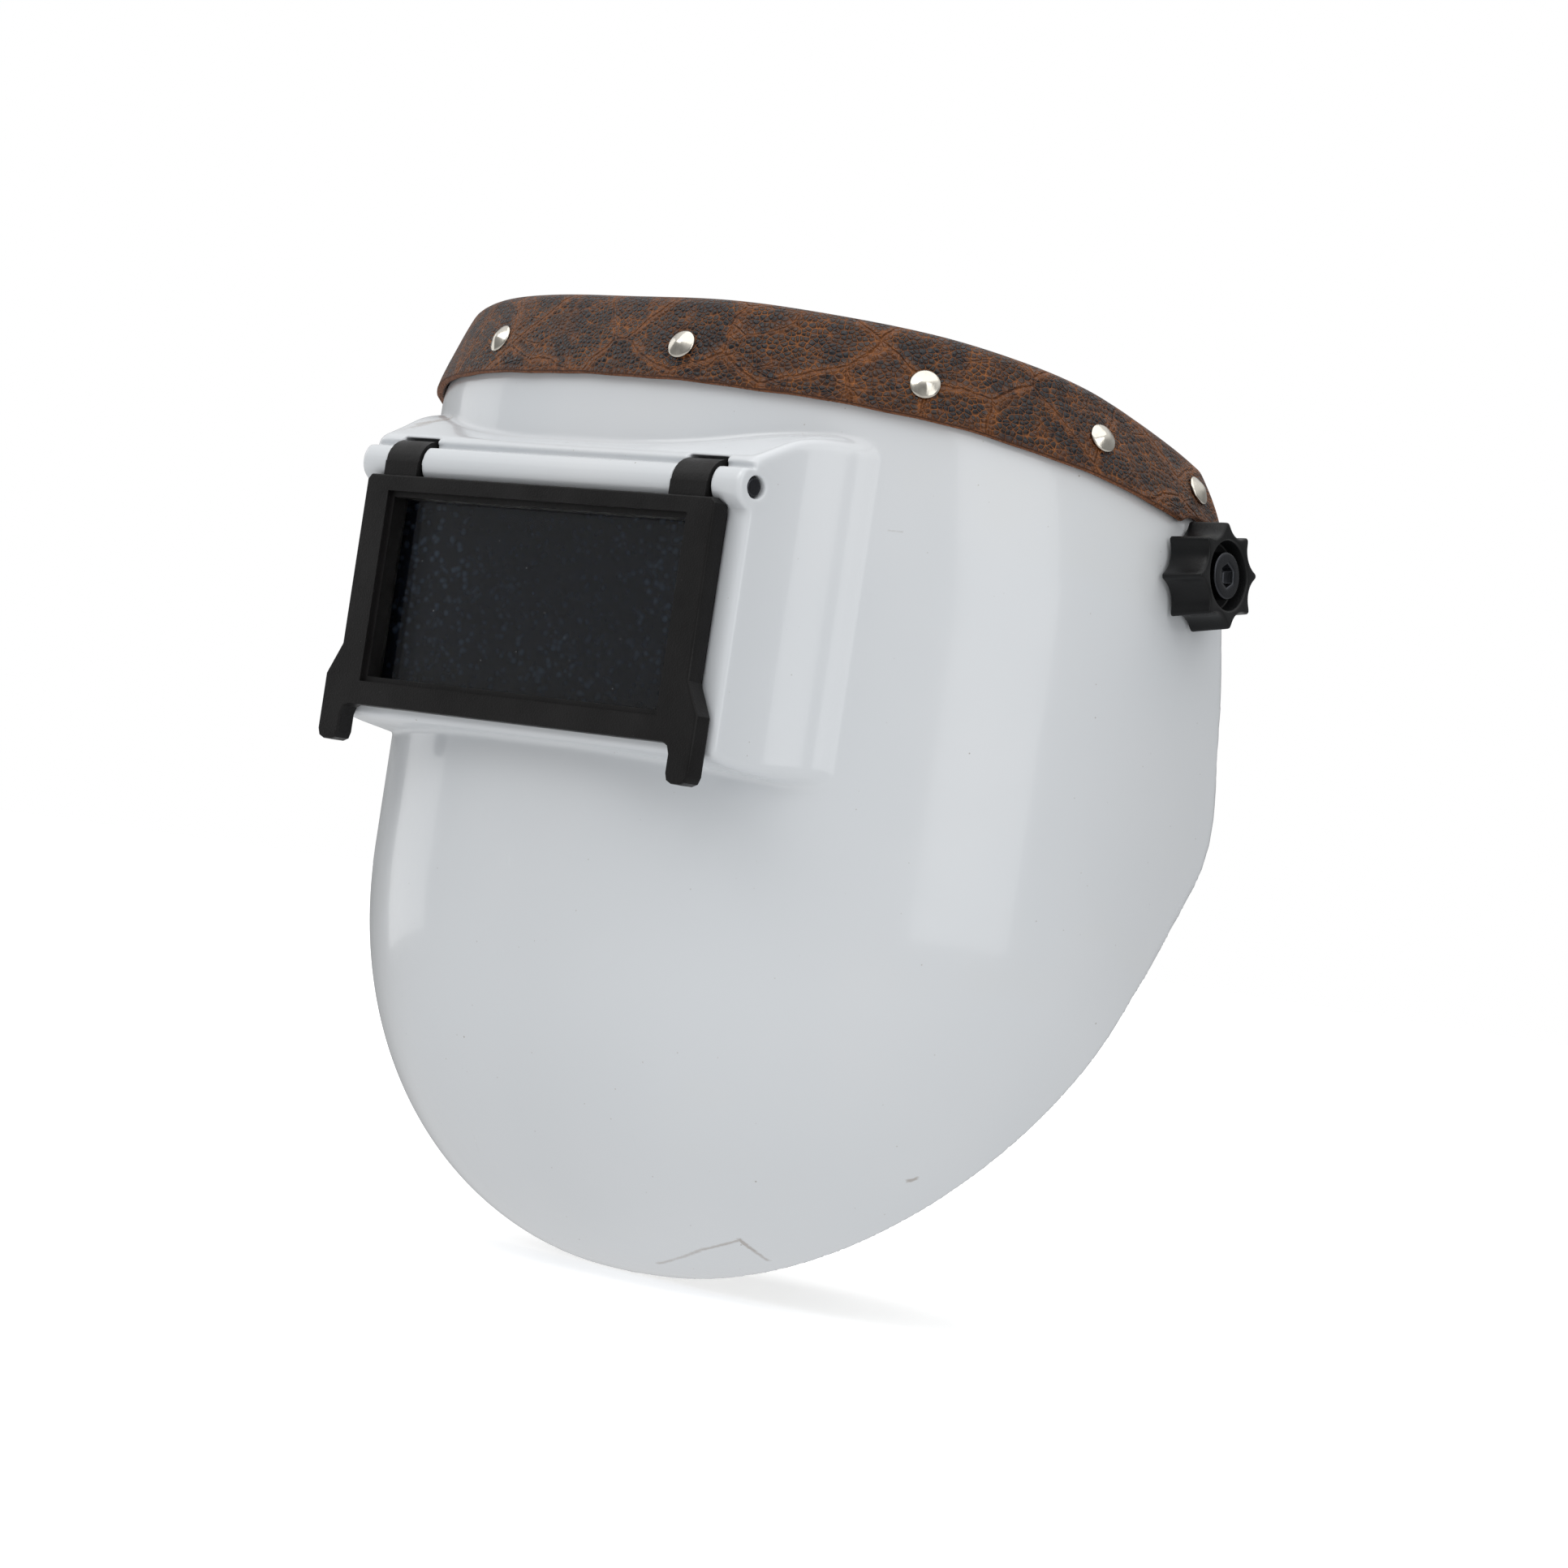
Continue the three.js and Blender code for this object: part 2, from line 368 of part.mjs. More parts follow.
let arm = plateZ(armPoly, AXIS_Z - 7, AXIS_Z + 7)
  .add(cylX(kp[0] - EAR_T / 2, kp[0] + EAR_T / 2, AXIS_Y, AXIS_Z, 8, 24))
  .subtract(cylX(kp[0] - 4, kp[0] + 4, AXIS_Y, AXIS_Z, 3.9, 20));
const armRivetT = [50, 61];
const hbNormal = (t) => { const a = hbPoint(t, 0), b = hbPoint(t, 1); return [b[0] - a[0], b[1] - a[1], 0]; };
const armRivets = armRivetT.map((d) => {
  const [x, y] = hbPoint(rad(d), 0), n = hbNormal(rad(d)), c = [x, y, AXIS_Z + 0.001];
  const bore = turned([[0, -6], [1.8, -6], [1.8, 8], [0, 8]], c, n, 12);
  arm = arm.subtract(bore);
  headband = headband.subtract(bore).subtract(flipX(bore));
  const o = armOff + EAR_T / 2 + 0.3;
  return turned([[0, -1.4], [1.5, -1.4], [1.5, o], [3.4, o], [2.9, o + 0.9], [1.2, o + 1.3], [0, o + 1.3]], c, n, 12);
});
// rear hinge pins
const rearX = hbPoint(rad(83.2), 0)[0];
const rearBore = cylX(rearX - 6, rearX + 9, REAR_Y, AXIS_Z, 2.3, 16);
headband = headband.subtract(rearBore).subtract(flipX(rearBore));
const rearPin = turned([[0, -3.2], [4, -3.2], [4, -1.7], [2.0, -1.7], [2.0, 4.75], [4.2, 4.75], [3.6, 5.9], [0, 6.2]],
  [rearX, REAR_Y, AXIS_Z], [1, 0, 0], 16);

// ---- rear band, hanging from its hinge ----
const uPoint = (tau, off) => {
  const n = new THREE.Vector2(Math.cos(tau) / REAR_A, -Math.sin(tau) / REAR_B).normalize();
  return [REAR_A * Math.cos(tau) + n.x * off, AXIS_Z - REAR_B * Math.sin(tau) + n.y * off];
};
const rearStrap = (layer) => sweep(28, () => [[-1, -1], [-1, 1], [1, 1], [1, -1]], (u, a, b) => {
  const tau = rad(-7) + u * rad(7 + 106), off = layer * 1.25 * smooth(rad(50), rad(66), tau);
  const [x, z] = uPoint(tau, off + (a * STRAP_T) / 2);
  const w = tau < 0 ? 7 : 7 + (REAR_W / 2 - 7) * smooth(0, rad(30), tau);
  const w2 = Math.min(w, 8.2 + (REAR_W / 2 - 8.2) * (1 - smooth(rad(48), rad(60), tau)));
  return [x, REAR_Y + b * w2, z];
});
const teeth = [];
const TP = 2.4;
for (let i = 0; i < 11; i++) teeth.push([-13.2 + i * TP, 3.5], [-13.2 + i * TP + TP / 2, 4.7]);
const slotL = plateZ([[-14.6, -3.7], [14.6, -3.7], [14.6, 3.5], ...teeth.reverse(), [-14.6, 3.5]].map(([x, y]) => [x, REAR_Y + y]), -130, -60);
const strapBore = cylX(rearX - 6, rearX + 9, REAR_Y, AXIS_Z, 2.3, 16);
const slotR = slotL.mirror([0, 1, 0]).translate([0, 2 * REAR_Y, 0]).mirror([1, 0, 0]);
const rearStrapL = rearStrap(1).subtract(strapBore).subtract(slotL);
const rearStrapR = flipX(rearStrap(-1)).subtract(flipX(strapBore)).subtract(slotR);
const RB = AXIS_Z - REAR_B; // bottom of the rear loop
const uArc = (o0, o1, w, deg) => sweep(16, () => [[o0, -w], [o0, w], [o1, w], [o1, -w]], (u, a, b) => {
  const tau = rad(90 - deg) + u * rad(2 * deg), [x, z] = uPoint(tau, a);
  return [x, REAR_Y + b, z];
});
let ratchetHousing = uArc(-4.6, 5.0, 12, 24).subtract(uArc(-2.6, 2.6, 8.8, 34));
ratchetHousing = ratchetHousing.add(turned([[0, 3], [11, 3], [10.4, 8.4], [0, 8.4]], [0, REAR_Y, RB], [0, 0, -1], 28))
  .subtract(turned([[0, -3], [4.3, -3], [4.3, 20], [0, 20]], [0, REAR_Y, RB], [0, 0, -1], 20))
  .subtract(uArc(-2.6, 2.6, 8.8, 34));
const napePad = sweep(14, (u) => {
  const e = Math.min(1, Math.sin(Math.PI * clamp(u, 0.02, 0.98)) * 3 + 0.3);
  return [[0.3, -1 * e], [0, -0.8 * e], [0, 0.8 * e], [0.3, 1 * e], [0.75, 1 * e], [1, 0.65 * e], [1, -0.65 * e], [0.75, -1 * e]];
}, (u, a, b) => {
  const tau = rad(48) + u * rad(84), [x, z] = uPoint(tau, -4.95 - a * 6.5);
  return [x, REAR_Y + b * 12.5, z];
});
// pinion and its knob
const gear = [];
for (let i = 0; i < 10; i++)
  for (const [f, r] of [[-0.27, 2.7], [-0.12, 3.9], [0.12, 3.9], [0.27, 2.7]]) {
    const a = ((i + 0.5 + f) / 10) * 2 * Math.PI;
    gear.push([r * Math.cos(a) * 0.84, r * Math.sin(a) * 0.84 + 0]);
  }
const gearRing = (z) => gear.map(([x, y]) => [x, REAR_Y + y, z]);
let pinion = loft([gearRing(RB - 2.3), gearRing(RB + 2.3)]);
pinion = pinion.add(turned([[0, -2.2], [2.6, -2.2], [2.6, 13.5], [0, 13.5]], [0, REAR_Y, RB - 2], [0, 0, -1], 16));
const gripRing = (z, k) => Array.from({ length: 42 }, (_, i) => {
  const a = (i / 42) * 2 * Math.PI, r = (17 - 1.3 * Math.pow(Math.abs(Math.sin(7 * a)), 0.8)) * k;
  return [r * Math.cos(a), REAR_Y + r * Math.sin(a), z];
});
const RK = RB - 8.8;
let ratchetKnob = loft([gripRing(RK, 0.97), gripRing(RK - 1.2, 1), gripRing(RK - 11.5, 0.95), gripRing(RK - 13.2, 0.86)]);
ratchetKnob = ratchetKnob.subtract(turned([[0, -1], [2.9, -1], [2.9, 7.4], [0, 7.4]], [0, REAR_Y, RK], [0, 0, -1], 16))
  .subtract(turned([[0, 11.6], [8, 11.6], [9, 15], [0, 15]], [0, REAR_Y, RK], [0, 0, -1], 24));

// ---- assembly ----
const root = new THREE.Group();
root.name = "welding_helmet";
function add(name, s, color, roughness, metalness, extra = {}) {
  const mesh = new THREE.Mesh(geometryOf(s.translate([0, -AXIS_Y, -AXIS_Z])),
    new THREE.MeshStandardMaterial({ color, roughness, metalness, flatShading: false, ...extra }));
  mesh.name = name;
  root.add(mesh);
}
const BLACK = 0x17181a, STEEL = 0xb9b6ad, WHITE = 0xdfe3e6, RUBBER = 0x202020;
add("shell", shell, WHITE, 0.25, 0);
add("leather_band", leather, 0x5a3a22, 0.7, 0);
for (const r of rivets) {
  const o = BAND_T + 0.6, i = -WALL - BAND_T - 0.9;
  add(r.name, turned([[0, i - 1.2], [2.6, i - 1.2], [2.6, i - 0.3], [1.2, i - 0.3], [1.2, o], [3.4, o], [1.2, o + 1.4], [0, o + 1.6]],
    r.p, r.n, 9), STEEL, 0.25, 1);
}
add("lift_front", frame, BLACK, 0.55, 0);
add("cover_lens", coverLens, 0xd8e6ea, 0.08, 0, { transparent: true, opacity: 0.3 });
add("lens_gasket", lensGasket, RUBBER, 0.8, 0);
add("filter_lens", filterLens, 0x0b1210, 0.06, 0);
add("lens_spring", lensSpring, STEEL, 0.3, 1);
add("hinge_pin", hingePin, 0x26272a, 0.4, 1);
add("window_gasket", plateGasket, RUBBER, 0.8, 0);
add("safety_plate", safetyPlate, 0xd8e6ea, 0.08, 0, { transparent: true, opacity: 0.3 });
add("plate_retainer", retainer, BLACK, 0.6, 0);
screwSpots.forEach(([x, z], i) => {
  let s = turned([[0, 0], [1.2, 0], [1.2, 8.6], [2.9, 8.6], [2.9, 9.6], [2.2, 10.2], [0, 10.2]], [x, 15.3, z], [0, 1, 0], 9);
  s = s.subtract(box(x - 2.4, x + 2.4, 24.7, 26, z - 0.35, z + 0.35));
  add("retainer_screw_" + (i + 1), s, STEEL, 0.3, 1);
});
for (const s of ["L", "R"]) {
  const m = (q) => (s === "L" ? q : flipX(q));
  add("tension_knob_" + s, m(knob), BLACK, 0.5, 0);
  add("knob_screw_" + s, m(screw), 0x222326, 0.35, 1);
  add("knob_washer_" + s, m(outerWasher), 0x303030, 0.6, 0);
  add("friction_washer_" + s, m(frictionWasher), 0x6b4a33, 0.8, 0);
  add("inner_washer_" + s, m(innerWasher), STEEL, 0.35, 1);
  add("lock_nut_" + s, m(lockNut), STEEL, 0.3, 1);
  add("side_arm_" + s, m(arm), 0x1e1f22, 0.5, 0);
  armRivets.forEach((r, i) => add("arm_rivet_" + s + (i + 1), m(r), STEEL, 0.3, 1));
  add("rear_hinge_pin_" + s, m(rearPin), STEEL, 0.3, 1);
}
add("forehead_band", headband, 0x1e1f22, 0.5, 0);
add("sweatband", sweatband, 0x3a3a3c, 0.9, 0);
add("rear_strap_L", rearStrapL, 0x1e1f22, 0.5, 0);
add("rear_strap_R", rearStrapR, 0x1e1f22, 0.5, 0);
add("ratchet_housing", ratchetHousing, 0x1e1f22, 0.5, 0);
add("nape_pad", napePad, 0x3a3a3c, 0.9, 0);
add("ratchet_pinion", pinion, 0x2b2c2f, 0.5, 0);
add("ratchet_knob", ratchetKnob, 0x1a1b1d, 0.5, 0);

export default root;
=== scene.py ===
import json
import math
import bpy
import bmesh
import numpy as np
from mathutils import Vector, Matrix

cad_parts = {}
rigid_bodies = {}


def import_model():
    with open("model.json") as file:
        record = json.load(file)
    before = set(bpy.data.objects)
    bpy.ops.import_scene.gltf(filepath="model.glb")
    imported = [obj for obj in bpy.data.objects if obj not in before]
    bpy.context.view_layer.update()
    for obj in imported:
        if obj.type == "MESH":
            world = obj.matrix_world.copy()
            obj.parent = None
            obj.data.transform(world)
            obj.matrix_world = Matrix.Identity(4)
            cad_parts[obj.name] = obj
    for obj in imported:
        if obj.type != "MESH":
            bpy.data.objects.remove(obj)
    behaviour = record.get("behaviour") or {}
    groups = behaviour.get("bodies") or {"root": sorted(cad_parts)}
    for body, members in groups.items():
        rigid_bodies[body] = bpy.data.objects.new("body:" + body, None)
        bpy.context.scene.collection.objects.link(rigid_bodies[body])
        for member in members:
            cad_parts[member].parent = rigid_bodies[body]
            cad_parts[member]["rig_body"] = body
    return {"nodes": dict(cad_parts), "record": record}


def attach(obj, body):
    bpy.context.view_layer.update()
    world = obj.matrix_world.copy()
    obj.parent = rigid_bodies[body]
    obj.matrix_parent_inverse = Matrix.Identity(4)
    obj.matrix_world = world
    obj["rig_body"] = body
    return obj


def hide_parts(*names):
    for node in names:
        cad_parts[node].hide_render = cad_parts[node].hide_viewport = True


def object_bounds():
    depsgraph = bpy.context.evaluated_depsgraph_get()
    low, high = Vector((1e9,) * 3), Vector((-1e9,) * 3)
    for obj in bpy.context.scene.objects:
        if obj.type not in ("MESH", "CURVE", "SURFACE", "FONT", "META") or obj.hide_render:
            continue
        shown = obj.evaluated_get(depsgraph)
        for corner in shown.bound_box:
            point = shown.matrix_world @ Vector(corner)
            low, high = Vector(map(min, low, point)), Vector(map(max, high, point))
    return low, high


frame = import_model()
CAD_BOX = [list(v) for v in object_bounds()]
rad = math.radians
AXIS_Y, AXIS_Z = 103.18, 26.45

# ------------------------------------------------------------------ surface of the shell (window frame, mm)
PLAN_R = np.array([60.67, 60.91, 61.59, 62.63, 63.98, 65.57, 67.35, 69.28, 71.33, 73.47, 75.77, 78.3, 81.14, 84.33,
                   87.81, 91.45, 95.16, 99.1, 102.75, 105.9, 108.27, 110.2, 112.1, 114.3, 117.1, 120.9, 125.5, 130.8, 136.4])
CHIN_Z, CHIN_H, CHIN_Y, CHIN_EXP = -58.8, 89.7, 67.0, 2.1
LEAN, LEAN_H, SIDE_LEAN, WALL = 8.5, 24.0, 0.0018, 2.6
BAND_H, BAND_T, CROWN_H = 19.9, 2.0, 17.9

_fine = np.arange(0, 160.01, 0.25)
def _catmull(t):
    i = np.clip(np.floor(t).astype(int), 0, len(PLAN_R) - 2)
    f = t - i
    last = 2 * PLAN_R[-1] - PLAN_R[-2]
    ext = np.concatenate([[PLAN_R[1]], PLAN_R, [last]])
    p0, p1, p2, p3 = ext[i], ext[i + 1], ext[i + 2], ext[i + 3]
    return 0.5 * (2 * p1 + (p2 - p0) * f + (2 * p0 - 5 * p1 + 4 * p2 - p3) * f * f + (3 * p1 - p0 - 3 * p2 + p3) * f ** 3)
_full = np.concatenate([_catmull(np.minimum(_fine, 140) / 5)[:0:-1], _catmull(np.minimum(_fine, 140) / 5)])
_fulldeg = np.concatenate([-_fine[:0:-1], _fine])
_k = np.exp(-0.5 * (np.arange(-40, 41) * 0.25 / 2.6) ** 2)
_smooth = np.convolve(np.pad(_full, 40, mode="edge"), _k / _k.sum(), mode="valid")
def plan_radius(deg):
    return np.interp(deg, _fulldeg, _smooth)
def plan_point(deg):
    r = plan_radius(deg)
    return r * np.sin(np.radians(deg)), 70 - r * np.cos(np.radians(deg))
def plan_normal(deg):
    ax, ay = plan_point(deg - 0.5)
    bx, by = plan_point(deg + 0.5)
    l = np.hypot(bx - ax, by - ay)
    return (by - ay) / l, -(bx - ax) / l
def band_z(y):
    q = np.maximum(y - 7, 0)
    return 52.6 - 0.06 * q - 0.00098 * q * q
def band_z_at(deg):
    return band_z(plan_point(deg)[1])
def sstep(a, b, v):
    t = np.clip((v - a) / (b - a), 0, 1)
    return t * t * (3 - 2 * t)
def shell_point(deg, z, off, chin_h=CHIN_H):
    deg = np.asarray(deg, float)
    px, py = plan_point(deg)
    nx, ny = plan_normal(deg)
    t = np.clip((z - (band_z(py) - 3)) / LEAN_H, 0, 1.6)
    side = sstep(68, 100, np.abs(deg)) * SIDE_LEAN * np.clip(z, 0, 60) ** 2
    d = off - LEAN * t ** 1.5 - side
    x, y = px + nx * d, py + ny * d
    q = np.clip((CHIN_Z - z) / chin_h, 0, 1)
    s = (1 - q ** CHIN_EXP) ** (1 / CHIN_EXP)
    return x * s, CHIN_Y + (y - CHIN_Y) * s, z + 0 * x

REAR = np.array([[117.4, 90], [117.4, 44], [119.6, 27], [121.9, 15], [123.6, 7.9], [125.2, 0.6], [127.1, -10.4], [128.9, -18],
    [129.9, -25.1], [129.6, -31], [127.9, -37], [124.6, -42.2], [117.2, -52.2], [106.2, -67.9], [98.0, -83.5], [93.6, -91.4],
    [89.1, -99.6], [84.6, -108], [80.2, -116.7], [75.8, -125.9], [71.5, -136.2], [69.2, -142.6], [67.6, -150], [66.6, -160]])
HOUSE_SIDE = [[4.8, -28.4], [4.8, 34.9], [5.5, 35.7], [11.8, 38.9], [15.5, 40.9], [18.6, 42.3], [23.4, 43.6], [29.7, 44.3],
    [34.9, 44.0], [38.4, 42.2], [39.8, 39], [39.8, -27], [37.8, -30.2], [34.6, -32.2], [31, -33], [21.9, -32.2], [11.7, -31.0], [6, -29.8]]
_HP = [[63.5, 4.8], [63.7, 9], [64.3, 14], [65.6, 18.5], [67.5, 22.5], [69.9, 26.0], [72.2, 28.7], [73.6, 31.2], [74.6, 36], [74.6, 41]]
HOUSE_PLAN = [[-x, y] for x, y in _HP[:1]] + _HP + [[-x, y] for x, y in _HP[:0:-1]]
CAV_SIDE = [[18, -28.6], [31, -30.2], [34.4, -29.4], [37, -26.5], [60, -26.5], [60, 38.6], [37, 38.6], [34.4, 41.0], [29.7, 41.5],
    [23.4, 40.8], [18, 39.0]]
CAV_PLAN = [[-60.9, 18], [60.9, 18], [62.0, 23.5], [64.5, 28.5], [68.6, 32.4], [71.4, 36], [71.4, 60], [-71.4, 60], [-71.4, 36],
    [-68.6, 32.4], [-64.5, 28.5], [-62.0, 23.5]]

def poly_sd(poly, A, B):
    """signed distance to a closed 2-D outline, negative inside"""
    P = np.asarray(poly, float)
    d = np.full(A.shape, 1e9)
    inside = np.zeros(A.shape, bool)
    for (x0, y0), (x1, y1) in zip(P, np.roll(P, -1, 0)):
        ex, ey = x1 - x0, y1 - y0
        wx, wy = A - x0, B - y0
        t = np.clip((wx * ex + wy * ey) / (ex * ex + ey * ey), 0, 1)
        d = np.minimum(d, (wx - t * ex) ** 2 + (wy - t * ey) ** 2)
        c = (y0 <= B) != (y1 <= B)
        with np.errstate(divide="ignore", invalid="ignore"):
            xi = x0 + (B - y0) * ex / (ey if ey else 1e-9)
        inside ^= c & (A < xi)
    return np.where(inside, -1, 1) * np.sqrt(d)
def smin(a, b, k):
    h = np.maximum(k - np.abs(a - b), 0) / k
    return np.minimum(a, b) - h * h * k * 0.25
def smax(a, b, k):
    return -smin(-a, -b, k)
def rounded(poly, r, A, B):
    """outline with its corners rounded by about r"""
    P = np.asarray(poly, float)
    for _ in range(3):
        Q = np.empty((2 * len(P), 2))
        nxt = np.roll(P, -1, 0)
        l = np.maximum(np.linalg.norm(nxt - P, axis=1, keepdims=True), 1e-9)
        c = np.minimum(0.25, r / l)
        Q[0::2], Q[1::2] = P * (1 - c) + nxt * c, P * c + nxt * (1 - c)
        P = Q
        r *= 0.6
    return poly_sd(P, A, B)

def axis(*spans):
    out = [spans[0][0]]
    for a, b, h in spans:
        n = max(1, int(round((b - a) / h)))
        out += list(a + (b - a) * (np.arange(n) + 1) / n)
    return np.array(out, np.float32)

def shell_field(xs, ys, zs):
    X2, Y2 = np.meshgrid(xs, ys, indexing="ij")
    degs = np.arange(-150, 150.01, 0.5)
    Fo = np.empty((len(xs), len(ys), len(zs)), np.float32)
    Fi = np.empty_like(Fo)
    Ft = np.empty_like(Fo)
    tops = band_z_at(degs) + CROWN_H
    for k, z in enumerate(zs):
        for F, off, ch in ((Fo, 0.0, CHIN_H), (Fi, -WALL, CHIN_H - WALL)):
            q = min(max((CHIN_Z - float(z)) / ch, 0), 1)
            s = max((1 - q ** CHIN_EXP) ** (1 / CHIN_EXP), 1e-3)
            cy = CHIN_Y + (70 - CHIN_Y) * s
            rx, ry, _ = shell_point(degs, float(z), off, ch)
            th, rr = np.arctan2(rx, cy - ry), np.hypot(rx, cy - ry)
            TH, RH = np.arctan2(X2, cy - Y2), np.hypot(X2, cy - Y2)
            F[:, :, k] = RH - np.interp(TH, th, rr)
            if F is Fo:
                Ft[:, :, k] = z - np.interp(TH, th, tops)
    for F in (Fo, Fi):
        gx, gy, gz = np.gradient(F, xs, ys, zs)
        g = np.sqrt(gx * gx + gy * gy + gz * gz)
        F /= np.clip(g, 0.8, 40)
        del gx, gy, gz, g
    YZ, ZY = np.meshgrid(ys, zs, indexing="ij")
    side = rounded(HOUSE_SIDE, 1.6, YZ, ZY)[None, :, :].astype(np.float32)
    plan = rounded(HOUSE_PLAN, 2.2, X2, Y2)[:, :, None].astype(np.float32)
    kh = (2.4 + 2.4 * sstep(14, 32, ys))[None, :, None].astype(np.float32)
    house = smax(side, plan, kh)
    cav = smax(rounded(CAV_SIDE, 1.5, YZ, ZY)[None, :, :].astype(np.float32), rounded(CAV_PLAN, 1.5, X2, Y2)[:, :, None].astype(np.float32), 2.0)
    rear = np.concatenate([REAR, [[300, -160], [300, 90]]])
    rearsd = poly_sd(rear, YZ, ZY)[None, :, :].astype(np.float32)
    outer = smin(Fo, house, 1.2)
    inner = smin(Fi, cav, 4.0)
    f = smax(outer, -inner, 0.7)
    y3, z3, x3 = ys[None, :, None], zs[None, None, :], xs[:, None, None]
    f = np.minimum(f, smax(house, y3 - 18, 0.5))
    f = smax(f, Ft, 0.9)
    # recess for the lift front, barrel, groove, lug slots, window hole, pin bore
    rec = np.maximum(np.maximum(np.abs(x3) - 56.8, y3 - 15.5), np.maximum(-25.8 - z3, z3 - 29.4))
    f = smax(f, -rec, 0.8)
    rb = np.sqrt((y3 - 6.8) ** 2 + (z3 - 29.4) ** 2)
    f = smin(f, smax(rb - 5.2, np.abs(x3) - 63.5, 1.2), 0.7)
    groove = np.maximum(np.abs(z3 - 33.75) - 0.55, y3 - 5.9 + 0 * x3)
    f = smax(f, -groove, 0.5)
    slot = np.maximum(np.abs(np.abs(x3) - 48.25) - 6.2, rb - 6.2)
    f = smax(f, -slot, 0.5)
    win = np.maximum(np.maximum(np.abs(x3) - 49.5, np.abs(z3) - 21.5), np.abs(y3 - 17) - 6)
    f = smax(f, -win, 0.6)
    f = smax(f, -(rb - 2.5), 0.3)
    # knob hole
    kn = KN
    kp = KP
    dx, dy, dz = np.abs(x3) - kp[0], y3 - kp[1], z3 - kp[2]
    al = dx * kn[0] + dy * kn[1] + dz * kn[2]
    rr = np.sqrt(np.maximum(dx * dx + dy * dy + dz * dz - al * al, 0))
    f = smax(f, -smax(rr - 3.6, np.abs(al - 6) - 10, 0.2), 0.4)
    f = smax(f, -rearsd, 1.1)
    return f, Fo, house

YAW, PITCH = rad(8), rad(6)
KN = np.array([math.cos(YAW) * math.cos(PITCH), math.sin(YAW) * math.cos(PITCH), math.sin(PITCH)])
KC = np.array([104.6, 104.3, 27.3])
PU = 8.1
KP = KC - PU * KN

def surface_nets(f, xs, ys, zs):
    nx, ny, nz = f.shape
    s = f < 0
    c = [s[i:nx - 1 + i, j:ny - 1 + j, k:nz - 1 + k] for i in (0, 1) for j in (0, 1) for k in (0, 1)]
    anyc, allc = c[0].copy(), c[0].copy()
    for v in c[1:]:
        anyc |= v
        allc &= v
    act = anyc & ~allc
    I, J, K = np.nonzero(act)
    vid = np.full(act.shape, -1, np.int32)
    vid[I, J, K] = np.arange(len(I))
    val = {(i, j, k): f[I + i, J + j, K + k] for i in (0, 1) for j in (0, 1) for k in (0, 1)}
    acc, cnt = np.zeros((len(I), 3)), np.zeros(len(I))
    keys = list(val)
    for a in keys:
        for ax in range(3):
            if a[ax]:
                continue
            b = tuple(1 if m == ax else a[m] for m in range(3))
            va, vb = val[a], val[b]
            m = (va < 0) != (vb < 0)
            t = np.where(m, va / np.where(m, va - vb, 1), 0)
            p = np.array(a, float)[None, :].repeat(len(I), 0)
            p[:, ax] = t
            acc[m] += p[m]
            cnt[m] += 1
    loc = acc / cnt[:, None]
    idx = np.stack([I, J, K], 1)
    def world(axs, i, t):
        return axs[i] + (axs[i + 1] - axs[i]) * t
    V = np.stack([world(xs, I, loc[:, 0]), world(ys, J, loc[:, 1]), world(zs, K, loc[:, 2])], 1)
    quads = []
    for ax in range(3):
        o1, o2 = [(1, 2), (2, 0), (0, 1)][ax]
        sl0 = [slice(1, -1)] * 3
        n = [nx, ny, nz]
        a0 = [slice(1, n[m] - 1) for m in range(3)]
        a0[ax] = slice(0, n[ax] - 1)
        a1 = list(a0)
        a1[ax] = slice(1, n[ax])
        A, B = s[tuple(a0)], s[tuple(a1)]
        e = np.nonzero(A != B)
        pos = [e[m] + (0 if m == ax else 1) for m in range(3)]
        flip = A[e]
        def cell(d1, d2):
            q = list(pos)
            q[o1] = q[o1] - d1
            q[o2] = q[o2] - d2
            return vid[q[0], q[1], q[2]]
        q = np.stack([cell(1, 1), cell(0, 1), cell(0, 0), cell(1, 0)], 1)
        q[~flip] = q[~flip][:, ::-1]
        quads.append(q)
    return V, np.concatenate(quads)

def sample(F, xs, ys, zs, P):
    out = []
    ii = []
    for axs, m in ((xs, 0), (ys, 1), (zs, 2)):
        i = np.clip(np.searchsorted(axs, P[:, m]) - 1, 0, len(axs) - 2)
        ii.append((i, np.clip((P[:, m] - axs[i]) / (axs[i + 1] - axs[i]), 0, 1)))
    (i, a), (j, b), (k, c) = ii
    r = 0
    for di in (0, 1):
        for dj in (0, 1):
            for dk in (0, 1):
                w = (a if di else 1 - a) * (b if dj else 1 - b) * (c if dk else 1 - c)
                r = r + F[i + di, j + dj, k + dk] * w
    return r

SHIFT = np.array([0, AXIS_Y, AXIS_Z])

def make_object(name, V, faces, smooth=True, mm=True):
    """V in the window frame in mm"""
    me = bpy.data.meshes.new(name)
    P = (np.asarray(V, float) - SHIFT) / 1000 if mm else np.asarray(V, float)
    F = np.asarray(faces, np.int32) if not isinstance(faces, list) else None
    if F is not None and F.ndim == 2:
        me.vertices.add(len(P))
        me.vertices.foreach_set("co", P.astype(np.float32).ravel())
        n, w = F.shape
        me.loops.add(n * w)
        me.loops.foreach_set("vertex_index", F.ravel())
        me.polygons.add(n)
        me.polygons.foreach_set("loop_start", np.arange(0, n * w, w, dtype=np.int32))
        me.update(calc_edges=True)
        me.validate()
    else:
        me.from_pydata([tuple(p) for p in P], [], [tuple(f) for f in faces])
        me.validate()
    if smooth:
        me.polygons.foreach_set("use_smooth", [True] * len(me.polygons))
    o = bpy.data.objects.new(name, me)
    bpy.context.scene.collection.objects.link(o)
    return o

